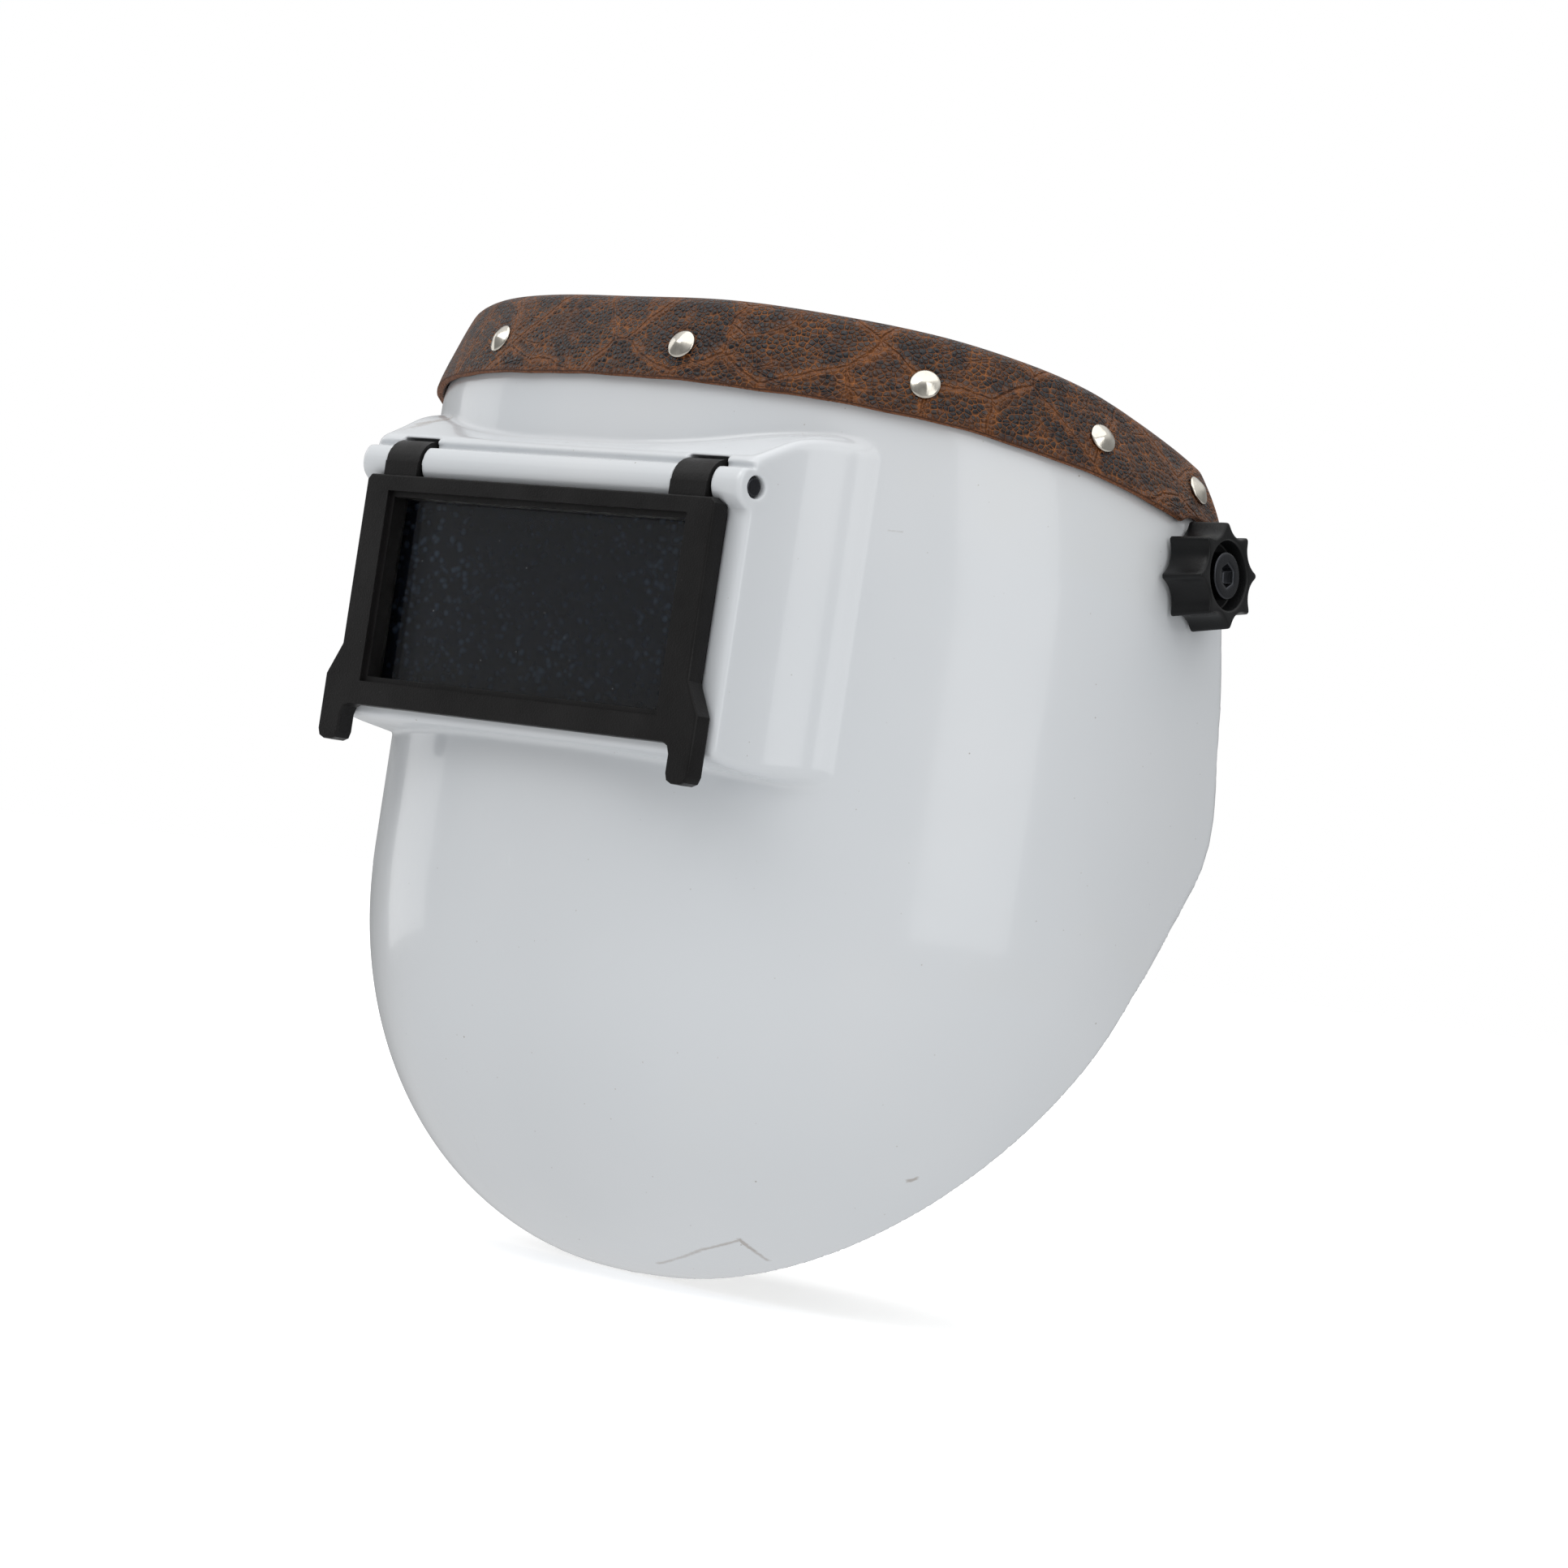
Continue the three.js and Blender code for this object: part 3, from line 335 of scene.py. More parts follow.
def outward(o):
    bm = bmesh.new()
    bm.from_mesh(o.data)
    bmesh.ops.recalc_face_normals(bm, faces=bm.faces)
    bm.to_mesh(o.data)
    bm.free()
    return o

def grid_faces(rows, cols, wrap=True, cap=True):
    """rings of `cols` points; quads between rows, end caps as fans of the last rings"""
    F = []
    idx = np.arange(rows * cols).reshape(rows, cols)
    a = idx[:-1]
    b = idx[1:]
    a2 = np.roll(a, -1, 1)
    b2 = np.roll(b, -1, 1)
    if not wrap:
        a, b, a2, b2 = a[:, :-1], b[:, :-1], a2[:, :-1], b2[:, :-1]
    F = np.stack([a.ravel(), a2.ravel(), b2.ravel(), b.ravel()], 1).tolist()
    if cap:
        F.append(idx[0][::-1].tolist())
        F.append(idx[-1].tolist())
    return F

def bevel_sharp(o, width, segments=3, angle=32):
    m = o.modifiers.new("edge", "BEVEL")
    m.width = width
    m.segments = segments
    m.limit_method = "ANGLE"
    m.angle_limit = rad(angle)
    m.harden_normals = False
    m.use_clamp_overlap = True
    w = o.modifiers.new("norm", "WEIGHTED_NORMAL")
    w.keep_sharp = True
    return o

def cad_copy(node, width=0.0004, segments=3, angle=32, name=None):
    """a piece of its own in the place of a CAD node, with worked edges"""
    src = frame["nodes"][node]
    me = src.data.copy()
    me.materials.clear()
    bm = bmesh.new()
    bm.from_mesh(me)
    bmesh.ops.remove_doubles(bm, verts=bm.verts, dist=2e-6)
    bmesh.ops.dissolve_limit(bm, angle_limit=rad(1.0), verts=bm.verts, edges=bm.edges)
    bm.to_mesh(me)
    bm.free()
    me.polygons.foreach_set("use_smooth", [True] * len(me.polygons))
    o = bpy.data.objects.new(name or "vis_" + node, me)
    bpy.context.scene.collection.objects.link(o)
    for a in list(me.attributes):
        if a.name in ("sharp_edge", "sharp_face", "custom_normal"):
            me.attributes.remove(a)
    if width:
        bevel_sharp(o, width, segments, angle)
    return o

# ------------------------------------------------------------------ materials
class Graph:
    def __init__(self, name):
        self.m = bpy.data.materials.new(name)
        self.m.use_nodes = True
        self.t = self.m.node_tree
        self.b = self.t.nodes["Principled BSDF"]
        self.co = self.t.nodes.new("ShaderNodeTexCoord").outputs["Object"]
    def put(self, sock, v):
        if isinstance(v, bpy.types.NodeSocket):
            self.t.links.new(v, sock)
        elif v is not None:
            if sock.type == "RGBA" and len(v) == 3:
                v = (*v, 1)
            sock.default_value = v
    def node(self, kind, ins=None, **props):
        n = self.t.nodes.new(kind)
        for k, v in props.items():
            setattr(n, k, v)
        for k, v in (ins or {}).items():
            self.put(n.inputs[k], v)
        return n
    def math(self, op, a, b=None, clamp=False, c=None):
        n = self.node("ShaderNodeMath", operation=op, use_clamp=clamp)
        self.put(n.inputs[0], a)
        if b is not None:
            self.put(n.inputs[1], b)
        if c is not None:
            self.put(n.inputs[2], c)
        return n.outputs[0]
    def vec(self, op, a, b=None, scale=None):
        n = self.node("ShaderNodeVectorMath", operation=op)
        self.put(n.inputs[0], a)
        if b is not None:
            self.put(n.inputs[1], b)
        if scale is not None:
            self.put(n.inputs["Scale"], scale)
        return n.outputs["Value"] if op in ("DOT_PRODUCT", "LENGTH", "DISTANCE") else n.outputs["Vector"]
    def span(self, v, a, b, c=0.0, d=1.0, smooth=True):
        n = self.node("ShaderNodeMapRange", {"Value": v, "From Min": a, "From Max": b, "To Min": c, "To Max": d},
                      interpolation_type="SMOOTHSTEP" if smooth else "LINEAR")
        return n.outputs["Result"]
    def mix(self, f, a, b, blend="MIX"):
        n = self.node("ShaderNodeMix", data_type="RGBA", blend_type=blend)
        self.put(n.inputs["Factor"], f)
        self.put([s for s in n.inputs if s.name == "A" and s.type == "RGBA"][0], a)
        self.put([s for s in n.inputs if s.name == "B" and s.type == "RGBA"][0], b)
        return [s for s in n.outputs if s.type == "RGBA"][0]
    def noise(self, co, scale, detail=3.0, rough=0.55, out="Fac", dist=0.0):
        return self.node("ShaderNodeTexNoise", {"Vector": co, "Scale": scale, "Detail": detail, "Roughness": rough,
                                                "Distortion": dist}).outputs[out]
    def voronoi(self, co, scale, feature="F1", out="Distance", rnd=1.0, smooth=None):
        n = self.node("ShaderNodeTexVoronoi", {"Vector": co, "Scale": scale}, feature=feature)
        n.inputs["Randomness"].default_value = rnd
        if smooth is not None and "Smoothness" in n.inputs:
            n.inputs["Smoothness"].default_value = smooth
        return n.outputs[out]
    def scale(self, co, s, rot=(0, 0, 0), loc=(0, 0, 0)):
        return self.node("ShaderNodeMapping", {"Vector": co, "Scale": s, "Rotation": rot, "Location": loc}).outputs["Vector"]
    def warp(self, co, scale, amount, detail=2.0):
        c = self.noise(co, scale, detail, 0.5, out="Color")
        d = self.vec("SUBTRACT", c, (0.5, 0.5, 0.5))
        return self.vec("ADD", co, self.vec("SCALE", d, scale=amount))
    def bump(self, h, dist, strength=1.0, normal=None):
        n = self.node("ShaderNodeBump", {"Height": h, "Distance": dist, "Strength": strength})
        if normal is not None:
            self.put(n.inputs["Normal"], normal)
        return n.outputs["Normal"]
    def attr(self, name, out="Fac"):
        return self.node("ShaderNodeAttribute", attribute_name=name).outputs[out]
    def set(self, **kw):
        for k, v in kw.items():
            self.put(self.b.inputs[k.replace("_", " ")], v)
        return self

def segment_mask(g, p, q, w):
    """1 near the segment p-q (part frame, metres), fading over w"""
    p, q = Vector(p), Vector(q)
    d = q - p
    L = d.length
    d.normalize()
    r = g.vec("SUBTRACT", g.co, tuple(p))
    along = g.vec("DOT_PRODUCT", r, tuple(d))
    across = g.vec("LENGTH", g.vec("CROSS_PRODUCT", r, tuple(d)))
    end = g.math("MAXIMUM", g.math("SUBTRACT", along, L), g.math("MULTIPLY", along, -1.0))
    far = g.math("MAXIMUM", g.math("SUBTRACT", across, w * 0.35), g.math("MULTIPLY", end, 0.5))
    wob = g.math("MULTIPLY", g.math("SUBTRACT", g.noise(g.co, 900, 2), 0.5), w * 1.6)
    return g.span(g.math("ADD", far, wob), 0.0, w, 1.0, 0.0)

def m_shell():
    g = Graph("shell_gelcoat")
    big = g.noise(g.co, 9, 3)
    col = g.mix(g.span(big, 0.35, 0.7), (0.70, 0.725, 0.75), (0.73, 0.748, 0.768))
    # yellowed patches, spread by noise
    yel = g.span(g.noise(g.scale(g.co, (14, 14, 22)), 1, 3), 0.56, 0.8, 0.0, 0.35)
    col = g.mix(yel, col, (0.715, 0.72, 0.705))
    # dust and pinholes
    cell = g.voronoi(g.co, 170, out="Color")
    pick = g.node("ShaderNodeSeparateColor", {"Color": cell}).outputs[0]
    dot = g.math("MULTIPLY", g.span(g.voronoi(g.co, 170), 0.025, 0.05, 1.0, 0.0), g.span(pick, 0.82, 0.86))
    cell2 = g.voronoi(g.co, 420, out="Color")
    pick2 = g.node("ShaderNodeSeparateColor", {"Color": cell2}).outputs[1]
    dot2 = g.math("MULTIPLY", g.span(g.voronoi(g.co, 420), 0.04, 0.10, 1.0, 0.0), g.span(pick2, 0.86, 0.9))
    dots = g.math("MAXIMUM", dot, g.math("MULTIPLY", dot2, 0.55))
    col = g.mix(g.math("MULTIPLY", dots, 0.75), col, (0.33, 0.30, 0.26))
    # hairline scratches
    s1 = g.noise(g.warp(g.scale(g.co, (28, 420, 60), rot=(0.3, 0.5, 0.7)), 0.02, 6), 1.0, 1)
    s2 = g.noise(g.warp(g.scale(g.co, (380, 24, 44), rot=(-0.5, 0.2, -0.4)), 0.02, 6), 1.0, 1)
    scr = g.math("MULTIPLY", g.span(g.math("MAXIMUM", s1, s2), 0.79, 0.83), g.span(g.noise(g.co, 22, 2), 0.52, 0.62))
    col = g.mix(g.math("MULTIPLY", scr, 0.30), col, (0.48, 0.47, 0.45))
    # rubbed streak on the housing, cracked gelcoat at the chin, small scrapes
    marks = None
    for p, q, w, k in (((-0.0582, -0.0890, 0.0135), (-0.0500, -0.0800, 0.0160), 0.0016, 0.55),
                       ((-0.0620, -0.0945, 0.0090), (-0.0575, -0.0900, 0.0130), 0.0012, 0.40),
                       ((0.0227, -0.0506, -0.1701), (0.0373, -0.0524, -0.1647), 0.0006, 0.45),
                       ((0.0373, -0.0524, -0.1647), (0.0474, -0.0508, -0.1608), 0.0005, 0.50),
                       ((0.0474, -0.0508, -0.1608), (0.0474, -0.0455, -0.1631), 0.0006, 0.60),
                       ((0.0474, -0.0455, -0.1631), (0.0470, -0.0407, -0.1649), 0.0005, 0.50),
                       ((0.0815, -0.0355, -0.1412), (0.0824, -0.0346, -0.1407), 0.0005, 0.6),
                       ((0.0772, -0.0680, -0.0012), (0.0792, -0.0662, -0.0011), 0.00025, 0.25)):
        v = g.math("MULTIPLY", segment_mask(g, p, q, w), k)
        marks = v if marks is None else g.math("MAXIMUM", marks, v)
    col = g.mix(marks, col, (0.30, 0.245, 0.20))
    # the inside is bare laminate: glass mat strands in resin
    ins = g.attr("inner")
    mat1 = g.noise(g.scale(g.co, (60, 900, 260), rot=(0.4, 0.9, 0.2)), 1, 2)
    mat2 = g.noise(g.scale(g.co, (820, 70, 300), rot=(-0.7, 0.3, 1.1)), 1, 2)
    strands = g.math("MAXIMUM", mat1, mat2)
    lam = g.mix(g.span(strands, 0.5, 0.72), (0.52, 0.52, 0.49), (0.66, 0.67, 0.64))
    lam = g.mix(g.span(g.noise(g.co, 30, 4), 0.4, 0.7, 0.0, 0.5), lam, (0.47, 0.455, 0.41))
    col = g.mix(ins, col, lam)
    rough = g.span(g.noise(g.co, 55, 4), 0.3, 0.75, 0.16, 0.24)
    rough = g.math("ADD", rough, g.math("MULTIPLY", g.math("MAXIMUM", scr, marks), 0.3))
    rough = g.math("ADD", rough, g.math("MULTIPLY", ins, 0.28), clamp=True)
    peel = g.noise(g.co, 260, 2)
    wave = g.noise(g.co, 38, 2)
    h = g.math("ADD", g.math("MULTIPLY", peel, 0.10), wave)
    h = g.math("ADD", h, g.math("MULTIPLY", g.math("MULTIPLY", strands, ins), 3.0))
    h = g.math("SUBTRACT", h, g.math("MULTIPLY", marks, 0.5))
    g.set(Base_Color=col, Roughness=rough, Normal=g.bump(h, 0.00016))
    g.b.inputs["Coat Weight"].default_value = 0.35
    g.b.inputs["Coat Roughness"].default_value = 0.05
    g.b.inputs["IOR"].default_value = 1.5
    return g.m

def m_leather():
    g = Graph("embossed_leather")
    uv = g.node("ShaderNodeUVMap", uv_map="uv").outputs["UV"]
    w = g.warp(uv, 240, 0.0011, 3)
    w2 = g.warp(g.warp(uv, 26, 0.014, 2), 110, 0.0032, 2)
    # pebbles
    def vor(co, scale, feature, out="Distance", rnd=1.0):
        n = g.node("ShaderNodeTexVoronoi", {"Vector": co, "Scale": scale}, feature=feature, voronoi_dimensions="2D")
        n.inputs["Randomness"].default_value = rnd
        return n.outputs[out]
    size = g.scale(w, (1.0, 1.22, 1.0))
    f1 = vor(size, 760, "F1")
    ed = vor(size, 760, "DISTANCE_TO_EDGE")
    dome = g.math("MULTIPLY", g.span(ed, 0.0, 0.17), g.span(f1, 0.90, 0.10, 0.35, 1.0))
    mini = vor(w, 1900, "F1")
    # folds crossing in diamonds, and finer wrinkles between them
    turn = g.scale(w2, (1.0, 1.15, 1.0), rot=(0, 0, 0.72))
    fold = vor(turn, 44, "DISTANCE_TO_EDGE", rnd=0.62)
    turn2 = g.scale(w2, (1.0, 1.6, 1.0), rot=(0, 0, -0.5), loc=(0.013, 0.004, 0))
    fold2 = vor(turn2, 92, "DISTANCE_TO_EDGE", rnd=0.85)
    where = g.noise(uv, 55, 2)
    line = g.span(fold, 0.0, 0.030, 1.0, 0.0)
    band = g.span(fold, 0.0, 0.105, 1.0, 0.0)
    line2 = g.math("MULTIPLY", g.span(fold2, 0.0, 0.045, 1.0, 0.0), g.span(where, 0.47, 0.58))
    band2 = g.math("MULTIPLY", g.span(fold2, 0.0, 0.15, 1.0, 0.0), g.span(where, 0.47, 0.58))
    tone = g.noise(uv, 75, 4)
    top = g.mix(g.span(tone, 0.36, 0.66), (0.0125, 0.0070, 0.0055), (0.046, 0.0165, 0.0075))
    gap = g.mix(g.span(g.noise(uv, 130, 3), 0.35, 0.7), (0.130, 0.044, 0.0115), (0.300, 0.102, 0.022))
    col = g.mix(g.span(dome, 0.12, 0.72), gap, top)
    rub = g.math("MULTIPLY", g.span(g.noise(uv, 210, 4, 0.6), 0.54, 0.70), 0.34)
    col = g.mix(rub, col, (0.185, 0.060, 0.020))
    pn = g.math("ADD", g.noise(g.scale(w, (1, 1.35, 1), rot=(0, 0, 0.6)), 165, 3, 0.62), g.math("MULTIPLY", g.noise(uv, 40, 2), 0.30))
    patch = g.math("MULTIPLY", g.span(pn, 0.655, 0.680), g.span(dome, 0.05, 0.4, 0.30, 1.0))
    col = g.mix(g.math("MULTIPLY", patch, 0.95), col, (0.0055, 0.0060, 0.0095))
    warm = g.math("MULTIPLY", g.math("MAXIMUM", g.math("MULTIPLY", band, 0.85), g.math("MULTIPLY", band2, 0.6)), g.span(pn, 0.76, 0.68))
    col = g.mix(warm, col, g.mix(g.span(dome, 0.2, 0.8), (0.330, 0.112, 0.026), (0.175, 0.060, 0.016)))
    col = g.mix(g.math("MULTIPLY", line, 0.60), col, (0.21, 0.068, 0.016))
    raw = g.attr("edge")
    suede = g.mix(g.noise(g.co, 900, 3), (0.175, 0.060, 0.022), (0.31, 0.115, 0.045))
    col = g.mix(raw, col, suede)
    # painted shade: near-black colour on the inner corner of the band's lower edge, where it sits on the shell
    band_contact_shade = g.attr("band_contact_shade")
    col = g.mix(band_contact_shade, col, (0.030, 0.018, 0.013))
    h = g.math("ADD", g.math("MULTIPLY", dome, 0.50), g.math("MULTIPLY", mini, 0.10))
    h = g.math("SUBTRACT", h, g.math("MULTIPLY", line, 1.1))
    h = g.math("ADD", h, g.math("MULTIPLY", band, 0.55))
    h = g.math("SUBTRACT", h, g.math("MULTIPLY", line2, 0.8))
    h = g.math("ADD", h, g.math("MULTIPLY", band2, 0.3))
    h = g.math("ADD", h, g.math("MULTIPLY", g.noise(g.co, 2200, 3), 0.10))
    rough = g.span(g.math("SUBTRACT", dome, raw), 0.0, 1.0, 0.62, 0.27)
    g.set(Base_Color=col, Roughness=rough, Normal=g.bump(h, 0.00095, 1.0))
    g.b.inputs["Specular IOR Level"].default_value = 0.38
    return g.m

def m_plastic(name, col, rough=0.45, grain=0.00004, grain_scale=2600, wear=0.25):
    g = Graph(name)
    n = g.noise(g.co, 60, 3)
    base = g.mix(g.span(n, 0.3, 0.75), tuple(c * 0.85 for c in col), tuple(c * 1.25 + 0.002 for c in col))
    dust = g.math("MULTIPLY", g.span(g.voronoi(g.co, 520), 0.03, 0.07, 1.0, 0.0),
                  g.span(g.node("ShaderNodeSeparateColor", {"Color": g.voronoi(g.co, 520, out="Color")}).outputs[0], 0.86, 0.9))
    base = g.mix(g.math("MULTIPLY", dust, wear), base, (0.24, 0.23, 0.22))
    scr = g.math("MULTIPLY", g.span(g.noise(g.warp(g.scale(g.co, (60, 700, 120), rot=(0.2, 0.9, 0.4)), 0.02, 4), 1, 1), 0.77, 0.82),
                 g.span(g.noise(g.co, 70, 2), 0.5, 0.6))
    base = g.mix(g.math("MULTIPLY", scr, wear * 0.8), base, (0.16, 0.16, 0.16))
    r = g.span(g.noise(g.co, 140, 3), 0.3, 0.7, rough - 0.06, rough + 0.08)
    fine = g.math("ADD", g.voronoi(g.co, grain_scale, "SMOOTH_F1", smooth=0.6), g.math("MULTIPLY", g.noise(g.co, 900, 2), 0.5))
    g.set(Base_Color=base, Roughness=r, Normal=g.bump(fine, grain))
    g.b.inputs["Specular IOR Level"].default_value = 0.22
    return g.m

def m_metal(name, col, rough=0.25, brushed=0.0, dirt=0.3):
    g = Graph(name)
    n = g.noise(g.co, 420, 3)
    base = g.mix(g.span(n, 0.5, 0.75, 0.0, dirt), col, tuple(c * 0.55 for c in col))
    lines = g.noise(g.scale(g.co, (2600, 2600, 160)), 1, 2)
    r = g.span(g.math("ADD", g.math("MULTIPLY", n, 0.5), g.math("MULTIPLY", lines, 0.5)), 0.35, 0.7, max(0.05, rough - 0.08), rough + 0.12)
    g.set(Base_Color=base, Roughness=r, Normal=g.bump(g.math("ADD", lines, n), 0.00001 + 0.00002 * brushed))
    g.b.inputs["Metallic"].default_value = 1.0
    return g.m

def m_filter():
    g = Graph("dark_filter_glass")
    w = g.warp(g.co, 260, 0.0012, 2)
    v = g.voronoi(g.scale(w, (1, 1, 1.3)), 390, "SMOOTH_F1", smooth=0.4)
    fade = g.span(g.noise(g.co, 26, 2), 0.35, 0.72)
    mott = g.math("MULTIPLY", g.span(v, 0.55, 0.12), g.math("ADD", g.math("MULTIPLY", fade, 0.85), 0.15))
    col = g.mix(mott, (0.0010, 0.0022, 0.0060), (0.0170, 0.0250, 0.0370))
    dust = g.math("MULTIPLY", g.span(g.voronoi(g.co, 210), 0.018, 0.04, 1.0, 0.0),
                  g.span(g.node("ShaderNodeSeparateColor", {"Color": g.voronoi(g.co, 210, out="Color")}).outputs[2], 0.72, 0.78))
    col = g.mix(g.math("MULTIPLY", dust, 0.6), col, (0.30, 0.33, 0.36))
    g.set(Base_Color=col, Roughness=g.span(v, 0.1, 0.6, 0.10, 0.22), Normal=g.bump(v, 0.00004, 0.5))
    g.b.inputs["Specular IOR Level"].default_value = 0.12
    return g.m

def m_clear(name):
    g = Graph(name)
    smear = g.span(g.noise(g.scale(g.co, (60, 60, 90), rot=(0, 0.5, 0)), 1, 4), 0.45, 0.8, 0.0, 0.05)
    dust = g.math("MULTIPLY", g.span(g.voronoi(g.co, 260), 0.02, 0.045, 1.0, 0.0),
                  g.span(g.node("ShaderNodeSeparateColor", {"Color": g.voronoi(g.co, 260, out="Color")}).outputs[0], 0.8, 0.85))
    g.set(Base_Color=(0.97, 0.985, 0.98), Roughness=g.math("ADD", smear, g.math("MULTIPLY", dust, 0.3)))
    g.b.inputs["Transmission Weight"].default_value = 1.0
    g.b.inputs["Specular IOR Level"].default_value = 0.22
    g.b.inputs["IOR"].default_value = 1.30
    return g.m

def m_rubber():
    g = Graph("black_rubber")
    n = g.noise(g.co, 1400, 3)
    g.set(Base_Color=g.mix(g.noise(g.co, 80, 3), (0.014, 0.014, 0.014), (0.030, 0.029, 0.028)),
          Roughness=g.span(n, 0.3, 0.7, 0.62, 0.82), Normal=g.bump(n, 0.00003))
    return g.m

def m_fibre():
    g = Graph("pressed_fibre")
    n = g.noise(g.co, 2400, 4)
    g.set(Base_Color=g.mix(n, (0.13, 0.065, 0.035), (0.27, 0.155, 0.09)), Roughness=g.span(n, 0.3, 0.7, 0.75, 0.92),
          Normal=g.bump(n, 0.00008))
    return g.m

def m_cloth(name, dark, light):
    """knitted cover: loops laid out along the piece's own length and height"""
    g = Graph(name)
    uv = g.node("ShaderNodeUVMap", uv_map="uv").outputs["UV"]
    s = g.node("ShaderNodeSeparateXYZ", {"Vector": uv})
    x = g.math("MULTIPLY", s.outputs[0], 2 * math.pi / 0.0016)
    y = g.math("MULTIPLY", s.outputs[1], 2 * math.pi / 0.0013)
    rib = g.math("SINE", x)
    loop = g.math("SINE", g.math("ADD", y, g.math("MULTIPLY", g.math("ABSOLUTE", rib), 1.7)))
    knit = g.math("ADD", g.math("MULTIPLY", rib, 0.5), g.math("MULTIPLY", loop, 0.5))
    fuzz = g.noise(g.co, 2600, 3)
    big = g.noise(g.co, 40, 3)
    # painted shade: the knit colour is dark in the dips between loops and light on the raised loops, following the bump
    # relief
    col = g.mix(g.span(knit, -0.8, 0.8), dark, light)
    col = g.mix(g.span(big, 0.45, 0.8, 0.0, 0.35), col, tuple(0.5 * (a + b) + 0.02 for a, b in zip(dark, light)))
    # darker dashed stitches along the edges (thread colour) and painted shade over the quilted dip of each rib
    stitch_and_quilt_shade = g.attr("stitch_and_quilt_shade")
    col = g.mix(g.math("MULTIPLY", stitch_and_quilt_shade, 0.7), col, tuple(c * 0.45 for c in dark))
    h = g.math("ADD", g.math("MULTIPLY", knit, 0.8), g.math("MULTIPLY", fuzz, 0.6))
    g.set(Base_Color=col, Roughness=g.span(fuzz, 0.3, 0.7, 0.84, 0.97), Normal=g.bump(h, 0.00022))
    g.b.inputs["Sheen Weight"].default_value = 0.35
    g.b.inputs["Sheen Roughness"].default_value = 0.5
    return g.m

MAT = {
    "shell_white": m_shell(), "crown_leather": m_leather(),
    "black_plastic": m_plastic("black_moulding", (0.0062, 0.0058, 0.0058), 0.42, 0.00004, 2600),
    "knob_plastic": m_plastic("black_knob", (0.0050, 0.0052, 0.0056), 0.33, 0.00002, 3000, 0.15),
    "headgear_plastic": m_plastic("headgear_nylon", (0.020, 0.021, 0.023), 0.42, 0.00003, 2200),
    "clear_plate": m_clear("clear_plate"), "dark_filter": m_filter(), "black_rubber": m_rubber(),
    "spring_steel": m_metal("spring_steel", (0.55, 0.55, 0.56), 0.28, 1), "dark_steel": m_metal("black_oxide", (0.050, 0.052, 0.058), 0.30, 0.5),
    "bright_steel": m_metal("zinc_steel", (0.66, 0.65, 0.62), 0.28, 0.6), "nickel": m_metal("nickel_cap", (0.74, 0.70, 0.62), 0.17, 0.2, 0.35),
    "fibre": m_fibre(), "pad_cloth": m_cloth("pad_knit", (0.022, 0.023, 0.027), (0.085, 0.088, 0.10)),
}
SLOT = {s["node"]: s["material_slot"] for s in frame["record"]["subparts"]}

def dress(o, node, body=None, slot=None, replace=True):
    s = slot or SLOT[node]
    o.data.materials.clear()
    o.data.materials.append(MAT[s])
    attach(o, body or frame["nodes"][node]["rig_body"])
    if replace:
        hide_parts(node)
    return o

def float_attr(o, name, values):
    a = o.data.attributes.new(name, "FLOAT", "POINT")
    a.data.foreach_set("value", np.asarray(values, np.float32))

